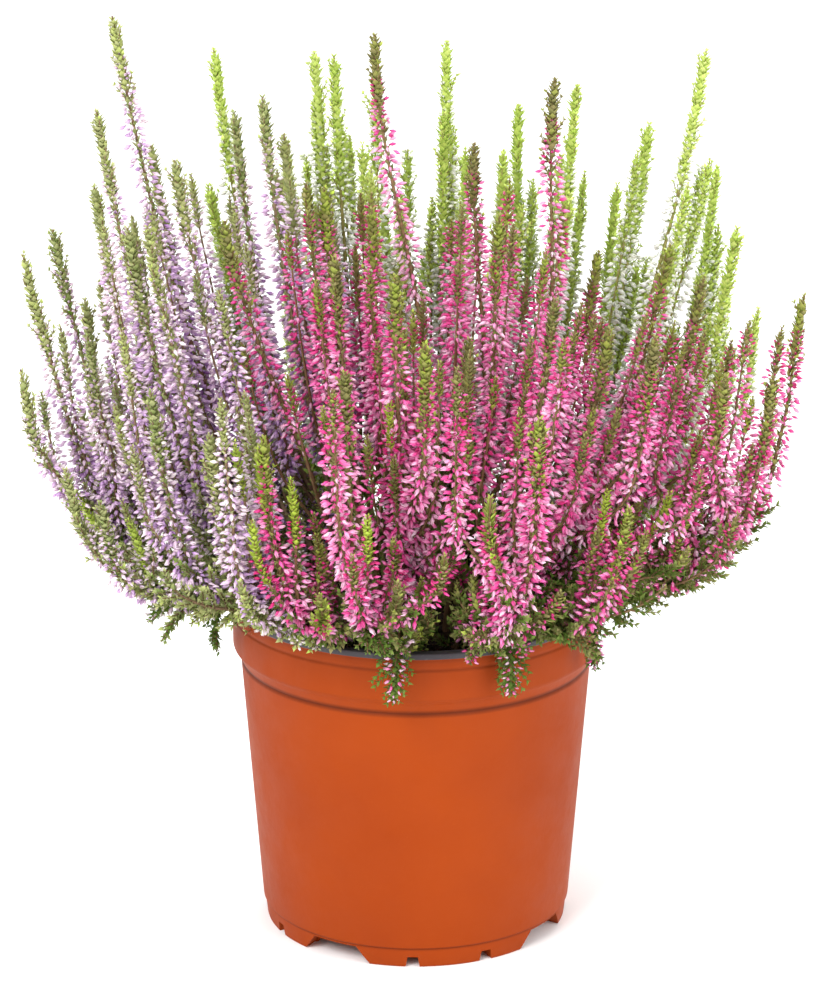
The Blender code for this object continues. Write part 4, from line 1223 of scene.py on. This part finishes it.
ROUND = 144  # faces round the pot
FILLET = {
    "lip": 0.7, "lip_foot": 0.2, "crease": 0.35, "step": 1.1, "groove_top": 0.5, "groove": 0.3,
    "groove_foot": 0.4, "base": 0.5, "base_ledge": 0.1, "foot": 0.6, "inner": 1.0,
}
FILLET_SHARE, FILLET_POINTS = 0.45, 4  # at most this share of the shorter side is rounded
CREASE_ABOVE = 1.2
GROOVE, GROOVE_ABOVE, GROOVE_BELOW, GROOVE_FOOT = 0.4, 0.9, 1.0, 0.05
ON_AXIS = 1e-6
DRAIN_SEGMENTS = 28
SHARP_ANGLE = 32
# Each plastic: its darker and lighter colour, roughness from and to, and the colour of its flecks
ORANGE = ((144, 53, 0), (152, 58, 0), (0.5, 0.66), (164, 68, 8))
GREY = ((64, 60, 64), (90, 87, 90), (0.3, 0.48), (132, 130, 130))
# The painted shade in the pot's creases, dark lines where shade falls: height, half the width, and how dark
POT_PAINTED_SHADE_LINES = (
    (STEP_BOTTOM, 1.7, 0.85),
    (STEP_TOP + 0.2, 0.8, 0.12),
    (COLLAR_CREASE - 0.2, 1.0, 0.32),
    (RIM_TOP - LIP_HEIGHT - 0.8, 1.2, 0.25),
    (BASE_LINE - 0.4, 0.9, 0.5),
)
# Which faces are grey: from a little under the lip up, and the inside down to the floor
LIP_UNDER, FLOOR_UNDER_TOP, FACING_UP = 0.15, 0.1, 0.9

SOIL_RINGS, SOIL_STEPS = 34, 110
LUMP_SCALE, LUMP_SLICE, LUMP_NOISE = 0.16, 3.1, (0.9, 2.1, 5)  # roughness, spread and octaves
SOIL_SUNK, LUMP_HEIGHT, SOIL_HIGHEST = 1.3, 1.2, 1.4
SOIL_EDGE_FROM, SOIL_EDGE_SPAN, SOIL_EDGE_DROP = 0.93, 0.07, 1.2
CRUMBS, CRUMB_SIZES, CRUMB_SUNK, CRUMBS_OFF_RIM = 260, (0.5, 1.9), 0.9, 4
CRUMB_STRETCH, CRUMB_CORNERS = ((0.7, 1.6), (0.6, 1.1), (0.5, 0.9)), (0.8, 1.2)


def filleted(corners):
    """A profile of (radius, height, fillet) with each corner rounded."""
    out = []
    for number, (r, z, fillet) in enumerate(corners):
        here = np.array([r, z])
        if not fillet or number in (0, len(corners) - 1):
            out.append(here)
            continue
        before = np.array(corners[number - 1][:2]) - here
        after = np.array(corners[number + 1][:2]) - here
        long_before, long_after = np.linalg.norm(before), np.linalg.norm(after)
        back = min(fillet, FILLET_SHARE * long_before, FILLET_SHARE * long_after)
        start = here + before / long_before * back
        end = here + after / long_after * back
        for share in np.linspace(0, 1, FILLET_POINTS):
            out.append((1 - share) ** 2 * start + 2 * share * (1 - share) * here + share**2 * end)
    return out


def plain_mesh(name, points, faces):
    mesh = bpy.data.meshes.new(name)
    mesh.from_pydata(points, [], faces)
    return mesh


def ring_points(radius, height, steps):
    """Points round the upright axis."""
    turns = [math.tau * step / steps for step in range(steps)]
    return [(radius * math.cos(turn) * MM, radius * math.sin(turn) * MM, height * MM) for turn in turns]


def turned_piece(name, profile):
    """A profile turned round the upright axis, with the axis points as single points."""
    points, rows = [], []
    for r, z in profile:
        if r < ON_AXIS:
            rows.append([len(points)] * ROUND)
            points.append((0, 0, z * MM))
            continue
        rows.append(list(range(len(points), len(points) + ROUND)))
        points += ring_points(r, z, ROUND)
    faces = []
    for upper, lower in zip(rows, rows[1:]):
        for a in range(ROUND):
            b = (a + 1) % ROUND
            loop = []
            for point in (upper[a], lower[a], lower[b], upper[b]):
                if point not in loop:
                    loop.append(point)
            faces.append(loop)
    return put_in_scene(name, plain_mesh(name, points, faces))


@contextmanager
def editing(mesh):
    """A mesh open for editing, which is written back at the end."""
    shape = bmesh.new()
    shape.from_mesh(mesh)
    yield shape
    shape.to_mesh(mesh)
    shape.free()


def smooth_by_angle(mesh, degrees):
    """Smooth faces, with edges sharper than an angle kept sharp."""
    with editing(mesh) as shape:
        bmesh.ops.recalc_face_normals(shape, faces=shape.faces)
        for face in shape.faces:
            face.smooth = True
        for edge in shape.edges:
            edge.smooth = edge.calc_face_angle(0.0) < math.radians(degrees)


def foot_cutter(name, angle, widths, top):
    """A wedge through the foot ring: narrower at its top than at the ground."""
    turn = math.radians(angle)
    out = np.array([math.cos(turn), math.sin(turn), 0.0])
    side = np.array([-math.sin(turn), math.cos(turn), 0.0])
    below = widths[0] + (widths[0] - widths[1]) * CUTTER_BELOW / top
    points = []
    for reach_out in (FOOT_INNER - CUTTER_INSIDE, BASE_RADIUS + CUTTER_OUTSIDE):
        for width, height in ((below, -CUTTER_BELOW), (widths[1], top)):
            for sign in (-1, 1):
                points.append((out * reach_out + side * sign * width / 2 + np.array([0, 0, height])) * MM)
    quads = ((0, 1, 3, 2), (4, 6, 7, 5), (0, 4, 5, 1), (2, 3, 7, 6), (0, 2, 6, 4), (1, 5, 7, 3))
    mesh = plain_mesh(name, points, quads)
    with editing(mesh) as shape:
        bmesh.ops.recalc_face_normals(shape, faces=shape.faces)
    return mesh


def drain_mesh(name, x, y):
    mesh = bpy.data.meshes.new(name)
    size = {"radius1": DRAIN_RADIUS * MM, "radius2": DRAIN_RADIUS * MM, "depth": DRAIN_DEPTH * MM}
    middle = (x * MM, y * MM, (FLOOR_TOP + FLOOR_UNDER) / 2 * MM)
    with editing(mesh) as shape:
        bmesh.ops.create_cone(shape, cap_ends=True, segments=DRAIN_SEGMENTS, **size)
        bmesh.ops.translate(shape, verts=shape.verts, vec=middle)
    return mesh


def pot_corners():
    """The solid's profile, with fillets."""
    inner_step, inner_base = STEP_RADIUS - WALL, BASE_RADIUS - WALL
    lip = RIM_TOP - LIP_HEIGHT
    f = FILLET
    return (
        (0.0, FLOOR_TOP, 0),
        (inner_base - INNER_CORNER, FLOOR_TOP, f["inner"]),
        (inner_base, FLOOR_TOP + INNER_CORNER, f["inner"]),
        (inner_step, STEP_BOTTOM, f["step"]),
        (RIM_INNER, STEP_TOP + COLLAR_INNER_FOOT, f["step"]),
        (RIM_INNER, RIM_TOP, f["lip"]),
        (RIM_RADIUS, RIM_TOP, f["lip"]),
        (RIM_RADIUS, lip, f["lip"]),
        (COLLAR_RADIUS, lip - LIP_STEP, f["lip_foot"]),
        (COLLAR_RADIUS, COLLAR_CREASE + CREASE_ABOVE, f["crease"]),
        (COLLAR_RADIUS - CREASE_DEPTH, COLLAR_CREASE, f["crease"]),
        (COLLAR_RADIUS, COLLAR_CREASE - CREASE_HEIGHT, f["crease"]),
        (COLLAR_RADIUS, STEP_TOP, f["step"]),
        (STEP_LEDGE_RADIUS, STEP_LEDGE, f["step"]),
        (STEP_RADIUS, STEP_BOTTOM + GROOVE_ABOVE, f["groove_top"]),
        (STEP_RADIUS - GROOVE, STEP_BOTTOM, f["groove"]),
        (STEP_RADIUS - GROOVE_FOOT, STEP_BOTTOM - GROOVE_BELOW, f["groove_foot"]),
        (BASE_RADIUS, BASE_LINE, f["base"]),
        (FOOT_TOP_RADIUS, BASE_LINE - BASE_LEDGE, f["base_ledge"]),
        (FOOT_TOP_RADIUS, FOOT_GAP_TOP, 0),
        (FOOT_BOTTOM_RADIUS, 0.0, f["foot"]),
        (FOOT_INNER, 0.0, f["foot"]),
        (FOOT_INNER - FOOT_INNER_LEAN, FLOOR_UNDER, f["foot"]),
        (0.0, FLOOR_UNDER, 0),
    )


def pot_cutters():
    """What is cut out of the turned pot: gaps between the feet, notches and drainage holes."""
    meshes = []
    for foot in range(FEET):
        middle = FOOT_CENTRE_ANGLE - 90 + foot * 360 / FEET
        meshes.append(foot_cutter(f"gap_{foot}", middle + 180 / FEET, FOOT_GAP_WIDTHS, FOOT_GAP_TOP))
        for side in (-1, 1):
            angle = middle + side * NOTCH_ANGLE
            meshes.append(foot_cutter(f"notch_{foot}_{side}", angle, NOTCH_WIDTHS, NOTCH_TOP))
    meshes.append(drain_mesh("drain_middle", 0, 0))
    for hole in range(DRAIN_HOLES):
        turn = math.tau * hole / DRAIN_HOLES
        x, y = DRAIN_CIRCLE * math.cos(turn), DRAIN_CIRCLE * math.sin(turn)
        meshes.append(drain_mesh(f"drain_{hole}", x, y))
    return meshes


def is_grey(face):
    """Whether a face of the pot is on the lip or inside."""
    centre = face.center / MM
    outwards = face.normal.x * centre.x + face.normal.y * centre.y
    on_lip = centre.z > RIM_TOP - LIP_HEIGHT - LIP_UNDER
    on_floor = face.normal.z > FACING_UP and math.hypot(centre.x, centre.y) < BASE_RADIUS - WALL
    return on_lip or (centre.z > FLOOR_TOP - FLOOR_UNDER_TOP and (outwards < 0 or on_floor))


def make_pot_piece():
    pot = turned_piece("formed_pot", filleted(pot_corners()))
    cutters = bpy.data.collections.new("foot_cutters")
    for mesh in pot_cutters():
        cutters.objects.link(bpy.data.objects.new(mesh.name, mesh))
    cut = pot.modifiers.new("feet", "BOOLEAN")
    cut.operation, cut.operand_type, cut.collection = "DIFFERENCE", "COLLECTION", cutters
    seen = pot.evaluated_get(bpy.context.evaluated_depsgraph_get())
    mesh = bpy.data.meshes.new_from_object(seen)
    pot.modifiers.clear()
    pot.data = mesh
    for item in list(cutters.objects):
        bpy.data.objects.remove(item)
    bpy.data.collections.remove(cutters)
    smooth_by_angle(mesh, SHARP_ANGLE)
    mesh.materials.clear()
    mesh.materials.append(pot_look("pot_orange", *ORANGE, POT_PAINTED_SHADE_LINES))
    mesh.materials.append(pot_look("pot_grey", *GREY, ()))
    for face in mesh.polygons:
        face.material_index = int(is_grey(face))
    return pot


def soil_height(x, y, share):
    """The lumpy top of the soil, a little lower along the wall, at a share of the radius."""
    place = Vector((x * LUMP_SCALE, y * LUMP_SCALE, LUMP_SLICE))
    lump = noise.fractal(place, *LUMP_NOISE)
    edge = smooth_step((share - SOIL_EDGE_FROM) / SOIL_EDGE_SPAN)
    z = SOIL_TOP - SOIL_SUNK + LUMP_HEIGHT * lump - SOIL_EDGE_DROP * edge
    return min(z, SOIL_TOP + SOIL_HIGHEST)


def make_soil_piece():
    """The compost: lumpy on top, in the space of its solid."""
    rings, steps = SOIL_RINGS, SOIL_STEPS
    radius = RIM_INNER - SOIL_GAP
    points, faces = [], []
    for ring in range(rings + 1):
        r = radius * ring / rings
        for step in range(steps):
            turn = math.tau * step / steps
            x, y = r * math.cos(turn), r * math.sin(turn)
            points.append((x * MM, y * MM, soil_height(x, y, r / radius) * MM))
    for ring in range(rings):
        for step in range(steps):
            after = (step + 1) % steps
            a, b = ring * steps + step, ring * steps + after
            faces.append((a, a + steps, b + steps, b))
    last = rings * steps
    wall = ((radius, STEP_TOP + COLLAR_INNER_FOOT), (STEP_RADIUS - WALL - SOIL_GAP, STEP_BOTTOM))
    base = BASE_RADIUS - WALL - SOIL_GAP
    for r, z in wall + ((base, FLOOR_TOP + INNER_CORNER), (base - INNER_CORNER, FLOOR_TOP + GAP)):
        first = len(points)
        points += ring_points(r, z, steps)
        for step in range(steps):
            after = (step + 1) % steps
            faces.append((last + step, first + step, first + after, last + after))
        last = first
    faces.append(tuple(range(last + steps - 1, last - 1, -1)))
    mesh = plain_mesh("crumbly_soil", points, faces)
    add_crumbs(mesh)
    mesh.materials.append(soil_look())
    return put_in_scene("crumbly_soil", mesh)


def add_crumbs(mesh):
    """Crumbs and bits of bark strewn on the soil."""
    draw = random.Random(f"{SEED} crumbs")
    with editing(mesh) as shape:
        bmesh.ops.remove_doubles(shape, verts=shape.verts, dist=ON_AXIS)
        for _ in range(CRUMBS):
            flat, turn = (RIM_INNER - CRUMBS_OFF_RIM) * math.sqrt(draw.random()), draw.uniform(0, math.tau)
            middle = (flat * math.cos(turn) * MM, flat * math.sin(turn) * MM, (SOIL_TOP - CRUMB_SUNK) * MM)
            radius = draw.uniform(*CRUMB_SIZES) * MM
            made = bmesh.ops.create_icosphere(shape, subdivisions=1, radius=radius)
            stretch = Vector([draw.uniform(*span) for span in CRUMB_STRETCH])
            spin = draw.uniform(0, math.tau)
            c, s = math.cos(spin), math.sin(spin)
            for vert in made["verts"]:
                x, y, z = (vert.co[i] * stretch[i] * draw.uniform(*CRUMB_CORNERS) for i in range(3))
                vert.co = Vector((x * c - y * s + middle[0], x * s + y * c + middle[1], z + middle[2]))


# Putting it together

# The floor, the lights (name, place, size and power) and the camera
FLOOR_HALF = 6.0
PAPER_CLOUDS, PAPER_COLOURS, PAPER_ROUGHNESS = (3.0, 2.0), ((250, 250, 250), (254, 254, 254)), 0.9
LIGHTS = (
    ("key", (-1.0, -1.5, 1.6), 1.0, 40),
    ("fill", (1.4, -1.2, 0.9), 1.2, 17),
    ("back", (0.3, 1.3, 1.8), 1.2, 16),
)
LIGHT_TARGET = (0, 0, 0.17)
AIR_COLOUR, AIR_STRENGTH = (1, 1, 1, 1), 1.0
CAMERA_PLACE, CAMERA_DOWN = (-0.001, -1.3, 0.56583), 0.30649
CAMERA_LENS, CAMERA_WIDTH, CAMERA_FAR = 139.84, 36, 20


def build():
    sprays = spray_lines()
    settle(sprays)
    branches = {index: [] for index in range(len(sprays))}
    for index, tip, lime in extra_tips(sprays) + short_tips(sprays):
        branches[index].append((tip, lime))
    looks = {kind: heather_look(f"{kind}_heather", *palette) for kind, palette in PALETTES.items()}
    pot = make_pot_piece()
    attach(pot, "root")
    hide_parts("pot")
    soil = make_soil_piece()
    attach(soil, "root")
    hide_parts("soil")
    for index, spray in enumerate(sprays):
        piece = fine_spray(spray, branches[index], looks)
        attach(piece, "root")
        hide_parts(spray["name"])


def make_stage():
    """A wide, pale, flat floor."""
    half = FLOOR_HALF
    points = [(x, y, 0.0) for x, y in ((-half, -half), (half, -half), (half, half), (-half, half))]
    mesh = plain_mesh("studio_floor", points, [(0, 1, 2, 3)])
    floor = put_in_scene("studio_floor", mesh)
    look = Look("studio_paper", PAPER_ROUGHNESS)
    paper = look.noise(look.object_place(), *PAPER_CLOUDS)
    look.colour(look.mix(paper, *(srgb(*colour) for colour in PAPER_COLOURS)))
    mesh.materials.append(look.material)


def area_light(name, place, size, power):
    light = bpy.data.lights.new(name, "AREA")
    light.energy, light.size = power, size
    item = put_in_scene(name, light)
    item.location = place
    item.rotation_euler = (Vector(LIGHT_TARGET) - Vector(place)).to_track_quat("-Z", "Y").to_euler()


def make_lights_and_camera():
    scene = bpy.context.scene
    scene.world = bpy.data.worlds.new("studio_air")
    scene.world.use_nodes = True
    air = scene.world.node_tree.nodes["Background"]
    air.inputs[0].default_value = AIR_COLOUR
    air.inputs[1].default_value = AIR_STRENGTH
    for light in LIGHTS:
        area_light(*light)
    camera = bpy.data.cameras.new("camera")
    camera.lens, camera.sensor_width, camera.clip_end = CAMERA_LENS, CAMERA_WIDTH, CAMERA_FAR
    item = put_in_scene("camera", camera)
    item.location = CAMERA_PLACE
    item.rotation_euler = (math.pi / 2 - CAMERA_DOWN, 0, 0)
    scene.camera = item
    scene.view_settings.view_transform = "Standard"


def corners(box):
    return [list(corner) for corner in box]


build()
make_stage()
make_lights_and_camera()
